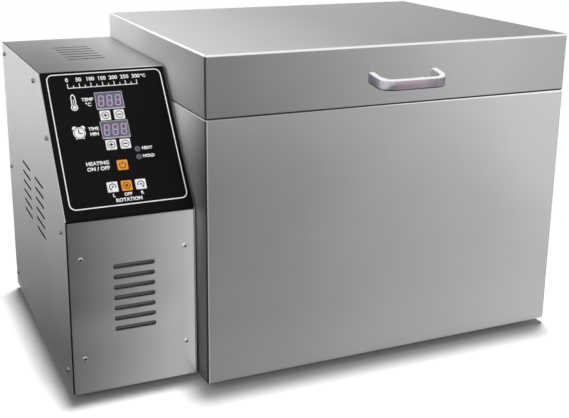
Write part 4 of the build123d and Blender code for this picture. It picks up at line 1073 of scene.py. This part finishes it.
def segmentInto(bm, opts, at, length, turn):
    verts = discInto(bm, opts["line"] * opts["point"], (0, 0), segments=6)
    for vert in verts:
        vert.co.y += math.copysign(length / 2 - opts["line"] / 2 - opts["gap"], vert.co.y)
    bmesh.ops.transform(bm, verts=verts, matrix=onPanel(at, turn))
    return verts


def digitInto(bm, opts, at):
    verts = []
    half = opts["high"] / 2
    for level in (-half, 0, half):
        verts += segmentInto(bm, opts, (0, level), opts["wide"], 90)
    for side in (-1, 1):
        for level in (-half / 2, half / 2):
            verts += segmentInto(bm, opts, (side * opts["wide"] / 2, level), half, 0)
    shear = Matrix(((1, opts["slant"], 0, at[0]), (0, 1, 0, at[1]), (0, 0, 1, 0), (0, 0, 0, 1)))
    bmesh.ops.transform(bm, verts=verts, matrix=shear)


digits = bmesh.new()
windows = bmesh.new()
for row in digitSet["rows"]:
    for column in digitSet["columns"]:
        digitInto(digits, digitSet, (column, row))
    frameInto(windows, at=(0, row), **digitSet["window"])
    barInto(windows, *digitSet["sill"], (0, row - digitSet["sillDrop"]))
inked(digits, "displayDigits", "segmentTint", "casing", panelSet["window"])
inked(windows, "displayEdges", "windowEdge", "casing", panelSet["film"])

lampSet = {"at": [(21.6, -108.1), (21.6, -118.2)], "radius": 3.2, "line": 0.7}
rims = bmesh.new()
for at in lampSet["at"]:
    ringInto(rims, lampSet["radius"], lampSet["line"], at)
inked(rims, "lampRims", "lampRim", "casing", panelSet["film"])
print("displays and lamps edged")


# symbols on the keys, each riding on its own key
markSet = {
    "ring": (4.7, 0.85), "bar": (5.0, 1.5), "stub": (1.5, 1.75),  # plus and minus
    "powerArc": (4.3, 1.15), "powerDrop": 0.3, "powerFrom": 120, "powerSweep": 300,
    "powerBar": (1.2, 4.4), "powerUp": 2.4,
    "stopRing": (4.6, 1.1), "stopSquare": (3.6, 3.6),
    "turnArc": (4.2, 1.05), "turnFrom": 115, "turnSweep": 260, "turnSquare": (2.1, 2.1),
    "tip": 1.7, "tipOut": 3.65,
}
keySet = {
    # key: place, symbol, ink
    "key_temperature_up": ((-8.45, -61.9), "plus", "darkInk"),
    "key_temperature_down": ((8.45, -61.9), "minus", "darkInk"),
    "key_time_up": ((-8.45, -100.1), "plus", "darkInk"),
    "key_time_down": ((8.45, -100.1), "minus", "darkInk"),
    "key_heat": ((0.0, -126.6), "power", "brownInk"),
    "key_turn_left": ((-16.75, -152.6), "left", "darkInk"),
    "key_turn_stop": ((0.0, -152.6), "stop", "brownInk"),
    "key_turn_right": ((16.75, -152.6), "right", "darkInk"),
}


def turnInto(bm, opts, at, way):
    start = 90 + way * opts["turnFrom"]
    end = start - way * opts["turnSweep"]
    arcInto(bm, *opts["turnArc"], at, start, end - start)
    out = Vector((math.cos(math.radians(end)), math.sin(math.radians(end)))) * opts["tipOut"]
    discInto(bm, opts["tip"], Vector(at) + out, segments=3, turn=end + (180 if way > 0 else 0))
    barInto(bm, *opts["turnSquare"], at)


def markInto(bm, opts, at, symbol):
    x, y = at
    if symbol in ("plus", "minus"):
        ringInto(bm, *opts["ring"], at)
        barInto(bm, *opts["bar"], at)
    if symbol == "plus":
        off = (opts["bar"][1] + opts["stub"][1]) / 2
        for side in (-1, 1):
            barInto(bm, *opts["stub"], (x, y + side * off))
    elif symbol == "power":
        arcInto(bm, *opts["powerArc"], (x, y - opts["powerDrop"]), opts["powerFrom"], opts["powerSweep"])
        barInto(bm, *opts["powerBar"], (x, y + opts["powerUp"]))
    elif symbol == "stop":
        ringInto(bm, *opts["stopRing"], at)
        barInto(bm, *opts["stopSquare"], at)
    elif symbol in ("left", "right"):
        turnInto(bm, opts, at, -1 if symbol == "left" else 1)


for key, (at, symbol, finish) in keySet.items():
    mark = bmesh.new()
    markInto(mark, markSet, at, symbol)
    inked(mark, "mark_" + key, finish, key, panelSet["keyTop"])
print("keys marked")
